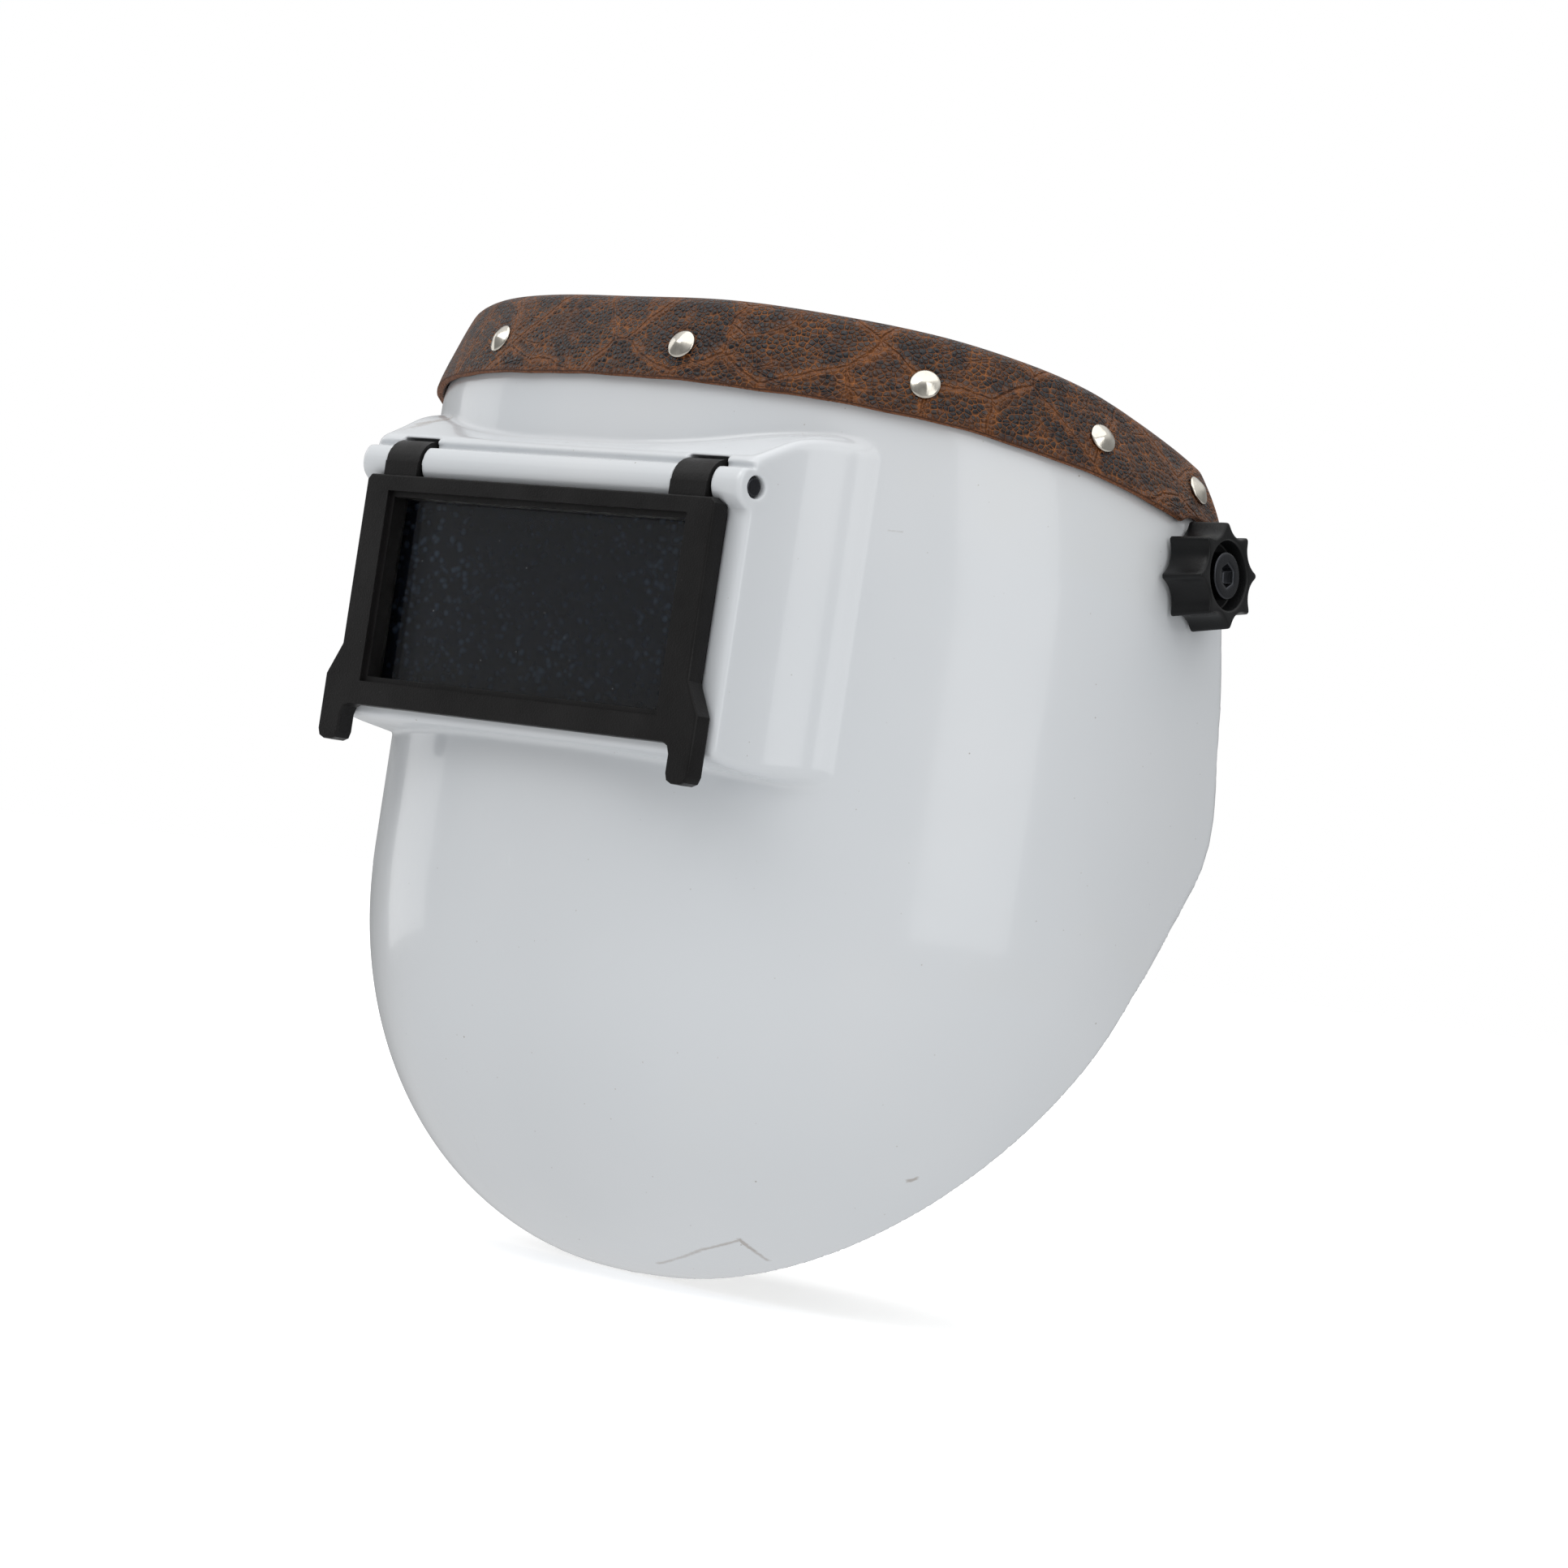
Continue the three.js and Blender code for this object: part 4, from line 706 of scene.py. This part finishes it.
# ------------------------------------------------------------------ shell
def build_shell():
    k = 1.0
    xs = axis((-1.5, 40, 1.0 * k), (40, 68, 0.45 * k), (68, 82, 0.65 * k), (82, 110, 1.0 * k))
    ys = axis((-1, 20, 0.45 * k), (20, 46, 0.65 * k), (46, 135, 1.0 * k))
    zs = axis((-151, -36, 1.0 * k), (-36, -21, 0.55 * k), (-21, 24, 1.0 * k), (24, 47, 0.45 * k), (47, 74, 0.9 * k))
    xs = np.sort(np.unique(np.concatenate([xs[xs > 0.4], [0.0], -xs[(xs > 0.4) & (xs < 2.6)]]))).astype(np.float32)
    f, Fo, house = shell_field(xs, ys, zs)
    V, Q = surface_nets(f, xs, ys, zs)
    gx, gy, gz = np.gradient(f, xs, ys, zs)
    for _ in range(2):
        v = sample(f, xs, ys, zs, V)
        n = np.stack([sample(q, xs, ys, zs, V) for q in (gx, gy, gz)], 1)
        l2 = np.maximum((n * n).sum(1), 0.05)
        step = (v / l2)[:, None] * n
        l = np.linalg.norm(step, axis=1, keepdims=True)
        V = V - step * np.minimum(1, 0.35 / np.maximum(l, 1e-9))
    # keep the half with x >= 0, pull its edge to the middle plane, and mirror it
    keep = (V[Q, 0] > -1e-6 - 0.0).sum(1) >= 2
    cen = V[Q, 0].mean(1)
    Q = Q[cen > 0]
    used = np.unique(Q)
    remap = np.full(len(V), -1)
    remap[used] = np.arange(len(used))
    V, Q = V[used], remap[Q]
    # boundary vertices lie on the middle plane
    e = np.concatenate([Q[:, [0, 1]], Q[:, [1, 2]], Q[:, [2, 3]], Q[:, [3, 0]]])
    es = np.sort(e, 1)
    _, inv, cnt = np.unique(es, axis=0, return_inverse=True, return_counts=True)
    b = np.unique(es[cnt[inv.ravel()] == 1])
    b = b[np.abs(V[b, 0]) < 2.5]
    V[b, 0] = 0
    n0 = len(V)
    M = V * [-1, 1, 1]
    ids = np.arange(n0) + n0
    ids[b] = b
    V = np.concatenate([V, M])
    Q = np.concatenate([Q, ids[Q][:, ::-1]])
    used = np.unique(Q)
    remap = np.full(len(V), -1)
    remap[used] = np.arange(len(used))
    V, Q = V[used], remap[Q]
    P = np.abs(V[:, [0]]), V[:, [1]], V[:, [2]]
    P = np.concatenate([np.abs(V[:, [0]]), V[:, 1:]], 1)
    out = np.minimum(sample(Fo, xs, ys, zs, P), sample(np.broadcast_to(house, f.shape), xs, ys, zs, P))
    inner = np.clip((-out - 1.0) / 0.9, 0, 1) * ((V[:, 1] > 17.3) | (V[:, 2] < -27.5) | (V[:, 2] > 42))
    # single dented vertices on the plain walls are pulled back among their neighbours
    e = np.concatenate([Q[:, [0, 1]], Q[:, [1, 2]], Q[:, [2, 3]], Q[:, [3, 0]]])
    e = np.unique(np.sort(e, 1), axis=0)
    deg = np.maximum(np.bincount(e.ravel(), minlength=len(V)), 1)[:, None]
    rim = poly_sd(np.concatenate([REAR, [[300, -160], [300, 90]]]), V[:, 1], V[:, 2])
    plain = (V[:, 2] < -34) & (rim > 4.5) & (np.abs(V[:, 0]) > 30)
    for turn in range(6):
        tot = np.stack([np.bincount(e[:, 0], V[e[:, 1], a], len(V)) + np.bincount(e[:, 1], V[e[:, 0], a], len(V)) for a in range(3)], 1)
        mean = tot / deg
        off = np.linalg.norm(V - mean, axis=1)
        bad = plain & (off > (0.16 if turn < 4 else 0.10))
        V[bad] = mean[bad]
    o = make_object("shell_visual", V, Q)
    float_attr(o, "inner", inner)
    return dress(o, "shell")

import time
_t = time.time()
shell = build_shell()
print("shell", len(shell.data.vertices), round(time.time() - _t, 1))

# ------------------------------------------------------------------ leather band
RIVETS = {1: [(25.8, 7.5), (67.5, 7.3), (91.8, 8.1), (110.6, 10.2)], -1: [(29.6, 7.5), (82.5, 7.4), (97.5, 8.1), (110.6, 10.2)]}
def rivet_frame(deg, h, side):
    a = deg * side
    z = float(band_z_at(a)) + h
    p = np.array([float(v) for v in shell_point(a, z, 0)])
    u = np.array([float(v) for v in shell_point(a + 0.4, z, 0)])
    v = np.array([float(q) for q in shell_point(a, z + 0.4, 0)])
    n = np.cross(u - p, v - p)
    n /= np.linalg.norm(n)
    out = np.array([p[0], p[1] - 70, 0])
    return p, n if n @ out > 0 else -n

def put_uv(o, uv):
    lay = o.data.uv_layers.new(name="uv")
    vi = np.zeros(len(o.data.loops), np.int32)
    o.data.loops.foreach_get("vertex_index", vi)
    lay.data.foreach_set("uv", np.asarray(uv, np.float32)[vi].ravel())

def build_leather():
    A = float(np.interp(116.4, plan_point(np.arange(80, 135, 0.1))[1], np.arange(80, 135, 0.1)))
    n = 760
    ang = np.linspace(-A, A, n)
    ph = np.linspace(0, math.pi, 15)
    def prof(hl):
        up = np.linspace(0, 1, 15)
        o = [(2.35, hl + 0.55 + (17.2 - hl - 0.55) * t) for t in up]
        o += [(-1.3 + 3.65 * math.cos(p), 17.2 + 2.75 * math.sin(p)) for p in ph[1:-1]]
        o += [(-4.95, 17.2 + (11.6 - 17.2) * t) for t in np.linspace(0, 1, 7)]
        o += [(-4.75, 11.15), (-3.95, 11.0), (-3.15, 11.15), (-2.95, 11.6)]
        o += [(-2.95, 11.6 + (17.2 - 11.6) * t) for t in np.linspace(0.2, 1, 5)]
        o += [(-1.3 + 1.65 * math.cos(p), 17.2 + 0.95 * math.sin(p)) for p in ph[::-1][1:-1][::2]]
        o += [(0.35, hl + 0.5 + (17.2 - hl - 0.5) * t) for t in np.linspace(1, 0, 13)]
        o += [(0.45, hl + 0.15), (0.95, hl + 0.0), (1.55, hl - 0.02), (2.05, hl + 0.08), (2.28, hl + 0.28)]
        return np.array(o)
    kinds = prof(0.0)
    m = len(kinds)
    rng = np.random.RandomState(7)
    phs = rng.uniform(0, 6.28, 12)
    V, edge, band_contact_shade, uv = [], [], [], []
    path = np.concatenate([[0], np.cumsum(np.hypot(np.diff(kinds[:, 0]), np.diff(kinds[:, 1])))])
    arc = np.concatenate([[0], np.cumsum(np.hypot(np.diff(plan_point(ang)[0]), np.diff(plan_point(ang)[1])))])
    rv = []
    for side in (1, -1):
        for d, h in RIVETS[side]:
            rv.append((float(np.interp(d * side, ang, arc)), h))
    for i, a in enumerate(ang):
        y = float(plan_point(a)[1])
        dy = y - 104.3
        hl = 0.0
        if abs(dy) < 13.0:
            hl = max(0.0, 27.3 + math.sqrt(13.0 ** 2 - dy ** 2) - float(band_z_at(a)))
        s = arc[i]
        low = 0.16 * math.sin(s / 13.0 + phs[0]) + 0.10 * math.sin(s / 5.1 + phs[1]) + 0.05 * math.sin(s / 2.2 + phs[2])
        P = prof(hl + low * (1.0 if hl == 0 else 0.3))
        off, h = P[:, 0].copy(), P[:, 1].copy()
        outside = (off > 1.0)
        w = 0.10 * np.sin(s / 9.0 + h / 4.5 + phs[3]) + 0.09 * np.sin(s / 17.0 - h / 6.0 + phs[4]) + 0.05 * np.sin(s / 4.3 + h / 3.1 + phs[5])
        off += np.where(off > 0.9, w, 0)
        h += np.where(h > 17.2, 0.12 * math.sin(s / 21 + phs[6]) + 0.07 * math.sin(s / 8 + phs[7]), 0)
        for rs, rh in rv:
            d2 = (s - rs) ** 2 + (h - rh) ** 2
            off -= np.where(outside, 0.42 * np.exp(-d2 / 16.0) - 0.16 * np.exp(-(np.sqrt(d2) - 6.2) ** 2 / 4.0), 0)
        z = float(band_z_at(a)) + h
        x, yy, zz = shell_point(np.full(m, a), z, off)
        V.append(np.stack([x, yy, zz], 1))
        uv.append(np.stack([np.full(m, s), path], 1) / 1000)
        end = min(i, n - 1 - i)
        e = np.clip(1 - (h - (hl + low)) / 0.75, 0, 1) * (off > -0.5)
        e = np.maximum(e, 1.0 if end == 0 else 0.0)
        e = np.maximum(e, ((off < -2.8) & (h < 11.5)) * 1.0)
        edge.append(e)
        # mask for the painted shade on the inner corner of the lower edge, against the shell
        band_contact_shade.append(((off < 0.8) & (off > -0.5) & (h < hl + low + 0.3)) * 1.0)
    V = np.array(V)
    for k, (i, j) in enumerate(((0, 3), (n - 1, n - 4))):
        pass
    rows = V.reshape(-1, 3)
    o = make_object("leather_band_visual", rows, grid_faces(n, m))
    float_attr(o, "edge", np.array(edge).ravel())
    float_attr(o, "band_contact_shade", np.array(band_contact_shade).ravel())
    outward(o)
    put_uv(o, np.array(uv).reshape(-1, 2))
    return dress(o, "leather_band")
leather = build_leather()

def lathe(name, profile, c, d, n=48):
    d = Vector(d).normalized()
    q = Vector((0, 0, 1)).rotation_difference(d).to_matrix()
    rows, V = len(profile), []
    for r, h in profile:
        for i in range(n):
            t = 2 * math.pi * i / n
            V.append(np.array(c) + np.array(q @ Vector((r * math.cos(t), r * math.sin(t), h))))
    return outward(make_object(name, V, grid_faces(rows, n)))

for side, tag in ((1, "L"), (-1, "R")):
    for i, (d, h) in enumerate(RIVETS[side]):
        p, nrm = rivet_frame(d, h, side)
        o0 = 2.05
        i0 = -WALL - BAND_T - 0.55
        prof = [(0.02, i0 - 1.0), (1.2, i0 - 0.95), (2.1, i0 - 0.75), (2.6, i0 - 0.4), (2.6, i0 - 0.1), (2.4, i0), (1.2, i0), (1.2, o0 - 0.2), (3.15, o0 - 0.2),
                (3.35, o0 - 0.05), (3.42, o0 + 0.15), (3.32, o0 + 0.34), (2.95, o0 + 0.54), (2.1, o0 + 0.95), (1.3, o0 + 1.32), (0.75, o0 + 1.52), (0.3, o0 + 1.6), (0.02, o0 + 1.62)]
        r = lathe(f"crown_rivet_{tag}{i + 1}_visual", prof, p, nrm, 40)
        dress(r, f"crown_rivet_{tag}{i + 1}")

# ------------------------------------------------------------------ tension knobs
def knob_pts(side):
    n = Vector(KN)
    ax = Vector((0, 0, 1)).cross(n).normalized()
    ay = n.cross(ax)
    def at(x, y, u):
        p = Vector(KP) + ax * x + ay * y + n * u
        return (p.x * side, p.y, p.z)
    return at
KNOB_R, KNOB_H = 11.85, 10.1
U0 = PU + 0.45
U1 = U0 + KNOB_H
def build_knob(tag, side):
    at = knob_pts(side)
    n = 256
    a = np.arange(n) / n * 2 * np.pi
    ph = np.abs((a + math.pi / 8) % (math.pi / 4) - math.pi / 8)
    ph = math.pi / 8 - ph
    dc, rs = 15.15, 5.72
    cut = dc * np.cos(ph) - np.sqrt(np.maximum(rs ** 2 - (dc * np.sin(ph)) ** 2, 0.0)) + 60 * np.maximum(dc * np.sin(ph) - rs, 0)
    hk = np.maximum(0.9 - np.abs(cut - KNOB_R), 0) / 0.9
    lobe = np.minimum(cut, KNOB_R) - hk * hk * 0.225
    a = a + rad(7.3)
    def ring(k, inset, u):
        r = lobe * k - inset
        return [at(math.cos(t) * q, math.sin(t) * q, u) for t, q in zip(a, r)]
    def circ(r, u):
        return [at(math.cos(t) * r, math.sin(t) * r, u) for t in a]
    R = [circ(3.3, U0 + 1.25), circ(8.7, U0 + 1.25), circ(8.9, U0 + 1.1), circ(8.9, U0 + 0.15), circ(9.05, U0), ring(1.035, 0.5, U0), ring(1.04, 0.15, U0 + 0.15), ring(1.04, 0.0, U0 + 0.5)]
    R += [ring(1.038 - 0.036 * t, 0, U0 + 0.5 + (KNOB_H - 1.9) * t) for t in np.linspace(0.1, 1, 8)]
    R += [ring(1.0, 0.04, U1 - 0.6), ring(1.0, 0.13, U1 - 0.32), ring(1.0, 0.30, U1 - 0.12), ring(1.0, 0.52, U1 - 0.02), ring(1.0, 0.8, U1)]
    R += [circ(8.3, U1), circ(8.12, U1 - 0.05), circ(7.88, U1 - 0.25), circ(7.75, U1 - 0.5), circ(7.65, U1 - 3.6), circ(7.5, U1 - 3.85), circ(7.2, U1 - 3.9), circ(3.4, U1 - 3.9), circ(3.3, U1 - 3.8)]
    V = [p for r in R for p in r]
    F = grid_faces(len(R), n, cap=False)
    last = (len(R) - 1) * n
    for i in range(n):
        j = (i + 1) % n
        F.append([last + i, last + j, j, i])
    o = make_object(f"tension_knob_{tag}_visual", V, F)
    outward(o)
    return dress(o, f"tension_knob_{tag}")
def build_screw(tag, side):
    at = knob_pts(side)
    n = 96
    a = np.arange(n) / n * 2 * np.pi
    def circ(r, u):
        return [at(math.cos(t) * r, math.sin(t) * r, u) for t in a]
    def hexr(r, u):
        out = []
        for t in a:
            k = (t + math.pi / 6) % (math.pi / 3) - math.pi / 6
            q = r / math.cos(k)
            out.append(at(math.cos(t) * q, math.sin(t) * q, u))
        return out
    hx = 2.34
    R = [circ(0.02, -9.4), circ(2.6, -9.4), circ(3.0, -9.0)]
    for i in range(14):
        u = -8.6 + i * 0.9
        R += [circ(3.0, u), circ(2.78, u + 0.35), circ(3.0, u + 0.7)]
    R += [circ(3.0, U1 - 3.75), circ(5.2, U1 - 3.75), circ(5.35, U1 - 3.6), circ(5.35, U1 - 0.9), circ(5.25, U1 - 0.62), circ(5.0, U1 - 0.45), circ(4.6, U1 - 0.4),
          circ(3.5, U1 - 0.4), hexr(hx + 0.42, U1 - 0.4), hexr(hx + 0.15, U1 - 0.5), hexr(hx, U1 - 0.75), hexr(hx, U1 - 2.7), circ(1.6, U1 - 3.1), circ(0.02, U1 - 3.3)]
    V = [p for r in R for p in r]
    o = make_object(f"knob_screw_{tag}_visual", V, grid_faces(len(R), n))
    outward(o)
    m = o.modifiers.new("norm", "WEIGHTED_NORMAL")
    return dress(o, f"knob_screw_{tag}")
for tag, side in (("L", 1), ("R", -1)):
    build_knob(tag, side)
    build_screw(tag, side)

# ------------------------------------------------------------------ headgear pads
HB_A, HB_B, HB_C, HB_T = 75.0, 84.0, 128.0, 2.2
def hb_point(t, off):
    nx, ny = math.sin(t) / HB_A, -math.cos(t) / HB_B
    l = math.hypot(nx, ny)
    return HB_A * math.sin(t) + nx / l * off, HB_C - HB_B * math.cos(t) + ny / l * off
def hb_mid(t):
    return AXIS_Z + 22 * max(math.cos(t), 0) ** 1.15
def hb_half(t):
    return 9 + 5 * max(math.cos(t), 0) ** 1.5
REAR_Y, REAR_A, REAR_B = 118.0, 77.9, 118.0
def u_point(tau, off):
    nx, nz = math.cos(tau) / REAR_A, -math.sin(tau) / REAR_B
    l = math.hypot(nx, nz)
    return REAR_A * math.cos(tau) + nx / l * off, AXIS_Z - REAR_B * math.sin(tau) + nz / l * off

def build_pad(name, node, t0, t1, at, half, thick, ribs, seed):
    """stuffed band: at(t, b, d) is the point at height b, depth d; stitched near both edges, quilted every rib"""
    rng = np.random.RandomState(seed)
    ph = rng.uniform(0, 6.28, 8)
    n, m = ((260, 48))
    V, uv, stitch_and_quilt_shade = [], [], []
    length = 0.0
    prev = None
    for i in range(n + 1):
        u = i / n
        t = t0 + (t1 - t0) * u
        end = min(u, 1 - u) * n / 9.0
        taper = math.sqrt(max(1 - (1 - min(end, 1)) ** 2, 0.0)) * 0.985 + 0.015
        hh = half(t) * (0.72 + 0.28 * taper)
        p = np.array(at(t, 0, 0))
        length += 0 if prev is None else float(np.linalg.norm(p - prev))
        prev = p
        rib = (u * ribs) % 1.0
        q = math.exp(-((rib - 0.5) / 0.10) ** 2)
        for j in range(m):
            a = 2 * math.pi * j / m
            ca, sa = math.cos(a), math.sin(a)
            b = math.copysign(abs(sa) ** 0.62, sa)
            d = math.copysign(abs(ca) ** 0.75, ca)
            edge = math.exp(-((abs(b) - 0.80) / 0.055) ** 2)
            puff = 1 - 0.16 * q * (1 if ca > 0 else 0)
            wr = 0.035 * math.sin(t * 95 + b * 3.1 + ph[0]) + 0.03 * math.sin(t * 41 - b * 5 + ph[1]) + 0.02 * math.sin(t * 160 + b * 9 + ph[2])
            dd = 0.5 + 0.5 * d * taper
            if ca > 0:
                dd = 0.5 + 0.5 * d * taper * (puff + wr) - 0.13 * edge * (1 if ca > 0.1 else 0)
            hb = b * (1 + 0.012 * math.sin(t * 60 + ph[3]) + 0.01 * math.sin(t * 23 + ph[4]))
            V.append(at(t, hb * hh, min(max(dd, 0.0), 1.0) * thick))
            uv.append((length / 1000, hb * hh / 1000 + (0.5 if ca < 0 else 0)))
            stitch = 0.5 + 0.5 * math.sin(length * 2 * math.pi / 2.6)
            # stitches near the edges, plus painted shade over the quilted dip of each rib
            stitch_and_quilt_shade.append(min(1.0, (edge * (0.35 + 0.65 * stitch) if ca > 0.1 else 0) + 0.5 * q * (ca > 0.1)))
    o = make_object(name, V, grid_faces(n + 1, m))
    outward(o)
    float_attr(o, "stitch_and_quilt_shade", stitch_and_quilt_shade)
    lay = o.data.uv_layers.new(name="uv")
    vi = np.zeros(len(o.data.loops), np.int32)
    o.data.loops.foreach_get("vertex_index", vi)
    lay.data.foreach_set("uv", np.array(uv, np.float32)[vi].ravel())
    dress(o, node)
    return o
def sweat_at(t, b, d):
    x, y = hb_point(t, -HB_T / 2 - 0.35 - d)
    return x, y, hb_mid(t) + b
def nape_at(t, b, d):
    x, z = u_point(t, -4.95 - d)
    return x, REAR_Y + b, z
build_pad("sweatband_visual", "sweatband", -rad(58), rad(58), sweat_at, lambda t: hb_half(t) * 0.93, 5.0, 9, 3)
build_pad("nape_pad_visual", "nape_pad", rad(48), rad(132), nape_at, lambda t: 12.5, 6.5, 5, 5)

# ------------------------------------------------------------------ the other pieces: CAD shapes with worked edges
COPIES = {"lift_front": (0.0003, 3, 30), "plate_retainer": (0.0005, 3, 30), "lens_gasket": (0.0002, 2, 30), "lens_spring": (0.00015, 2, 30),
          "window_gasket": (0.0002, 2, 30), "hinge_pin": (0.00015, 2, 40), "cover_lens": (0.00025, 2, 30), "filter_lens": (0.0003, 2, 30),
          "safety_plate": (0.0003, 2, 30), "forehead_band": (0.0005, 3, 40), "rear_strap_L": (0.0004, 3, 40), "rear_strap_R": (0.0004, 3, 40),
          "ratchet_housing": (0.0005, 3, 34), "ratchet_knob": (0.0006, 3, 30), "ratchet_pinion": (0.0002, 2, 30)}
for i in range(1, 5):
    COPIES[f"retainer_screw_{i}"] = (0.00012, 2, 35)
for tag in "LR":
    COPIES.update({f"knob_washer_{tag}": (0.00015, 2, 35), f"friction_washer_{tag}": (0.00012, 2, 35), f"inner_washer_{tag}": (0.00012, 2, 35),
                   f"lock_nut_{tag}": (0.0003, 3, 30), f"side_arm_{tag}": (0.0004, 3, 32), f"arm_rivet_{tag}1": (0.0002, 2, 35),
                   f"arm_rivet_{tag}2": (0.0002, 2, 35), f"rear_hinge_pin_{tag}": (0.0003, 3, 35)})
for node, (w, s, a) in COPIES.items():
    dress(cad_copy(node, w, s, a), node)

# ------------------------------------------------------------------ floor, lights, camera
def plane(name, size, loc, mat_col, rough):
    bpy.ops.mesh.primitive_plane_add(size=size, location=loc)
    o = bpy.context.object
    o.name = name
    g = Graph(name)
    g.set(Base_Color=g.mix(g.noise(g.co, 3, 3), mat_col, tuple(min(1, c * 1.01) for c in mat_col)), Roughness=g.span(g.noise(g.co, 8, 2), 0.3, 0.7, rough, rough + 0.05))
    g.b.inputs["Emission Color"].default_value = (1, 1, 1, 1)
    g.b.inputs["Emission Strength"].default_value = 0.42
    o.data.materials.append(g.m)
    o.visible_diffuse = False
    o.visible_glossy = False
    o.visible_shadow = False
    return o
low = min(CAD_BOX[0][2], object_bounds()[0][2])
plane("floor", 14.0, (0, 0, low - 0.0006), (0.93, 0.93, 0.93), 0.6)

world = bpy.data.worlds.new("studio")
bpy.context.scene.world = world
world.use_nodes = True
wt = world.node_tree
bg = wt.nodes["Background"]
bg.inputs["Color"].default_value = (0.97, 0.985, 1.0, 1)
bg.inputs["Strength"].default_value = 0.36
white = wt.nodes.new("ShaderNodeBackground")
white.inputs["Color"].default_value = (1, 1, 1, 1)
white.inputs["Strength"].default_value = 1.0
sky = wt.nodes.new("ShaderNodeTexCoord")
sep = wt.nodes.new("ShaderNodeSeparateXYZ")
half = wt.nodes.new("ShaderNodeMath")
half.operation = "MULTIPLY_ADD"
half.inputs[1].default_value = half.inputs[2].default_value = 0.5
ramp = wt.nodes.new("ShaderNodeValToRGB")
ramp.color_ramp.interpolation = "EASE"
for at, v in ((0.0, 0.70), (0.32, 0.62), (0.50, 0.24), (0.58, 0.30), (0.85, 0.80)):
    el = ramp.color_ramp.elements[0] if at == 0.0 else ramp.color_ramp.elements[-1] if at == 0.85 else ramp.color_ramp.elements.new(at)
    el.position = at
    el.color = (v * 0.985, v * 0.993, v, 1)
wt.links.new(sky.outputs["Generated"], sep.inputs[0])
wt.links.new(sep.outputs[2], half.inputs[0])
wt.links.new(half.outputs[0], ramp.inputs["Fac"])
wt.links.new(ramp.outputs["Color"], bg.inputs["Color"])
bg.inputs["Strength"].default_value = 1.0
path = wt.nodes.new("ShaderNodeLightPath")
mixw = wt.nodes.new("ShaderNodeMixShader")
wt.links.new(path.outputs["Is Camera Ray"], mixw.inputs[0])
wt.links.new(bg.outputs[0], mixw.inputs[1])
wt.links.new(white.outputs[0], mixw.inputs[2])
wt.links.new(mixw.outputs[0], wt.nodes["World Output"].inputs["Surface"])

def area(name, loc, target, size, size_y, power, color=(1, 1, 1)):
    l = bpy.data.lights.new(name, "AREA")
    l.shape = "RECTANGLE"
    l.size, l.size_y, l.energy, l.color = size, size_y, power, color
    o = bpy.data.objects.new(name, l)
    bpy.context.scene.collection.objects.link(o)
    o.location = loc
    d = Vector(target) - Vector(loc)
    o.rotation_euler = d.to_track_quat("-Z", "Y").to_euler()
    return o
area("front_left", (-0.75, -1.75, 1.55), (0, -0.05, -0.04), 1.7, 1.1, 10.2, (1.0, 0.995, 0.985))
area("front_right", (1.95, -0.55, 0.55), (0.02, 0, -0.05), 1.2, 1.6, 7.3, (0.985, 0.993, 1.0))
area("left_side", (-1.9, -0.35, 0.3), (0, 0, -0.05), 1.0, 1.4, 3.3)
area("chin_fill", (0.50, -0.80, -0.95), (0.02, -0.03, -0.12), 1.3, 1.0, 3.4).visible_glossy = False
def sun(name, direction, strength, angle):
    l = bpy.data.lights.new(name, "SUN")
    l.energy, l.angle = strength, angle
    o = bpy.data.objects.new(name, l)
    bpy.context.scene.collection.objects.link(o)
    o.rotation_euler = Vector(direction).to_track_quat("-Z", "Y").to_euler()
    return o
sun("overhead", (-0.10, 0.16, -1.0), 0.95, rad(80))

a, e, roll = rad(45.021), rad(-1.168), rad(8.576)
back = Vector((math.sin(a) * math.cos(e), -math.cos(a) * math.cos(e), math.sin(e)))
right = Vector((math.cos(a), math.sin(a), 0))
up = back.cross(right)
r = right * math.cos(roll) + up * math.sin(roll)
u = -right * math.sin(roll) + up * math.cos(roll)
cam = bpy.data.cameras.new("photo_camera")
cam.lens, cam.sensor_width, cam.sensor_fit = 107.316, 36.0, "HORIZONTAL"
cam.clip_start, cam.clip_end = 0.02, 60
co = bpy.data.objects.new("photo_camera", cam)
bpy.context.scene.collection.objects.link(co)
co.matrix_world = Matrix(((r.x, u.x, back.x, 0.78476), (r.y, u.y, back.y, -0.79536), (r.z, u.z, back.z, -0.07977), (0, 0, 0, 1)))
bpy.context.scene.camera = co
bpy.context.scene.view_settings.view_transform = "Standard"
bpy.context.scene.view_settings.look = "None"
bpy.context.scene.view_settings.exposure = 0.0
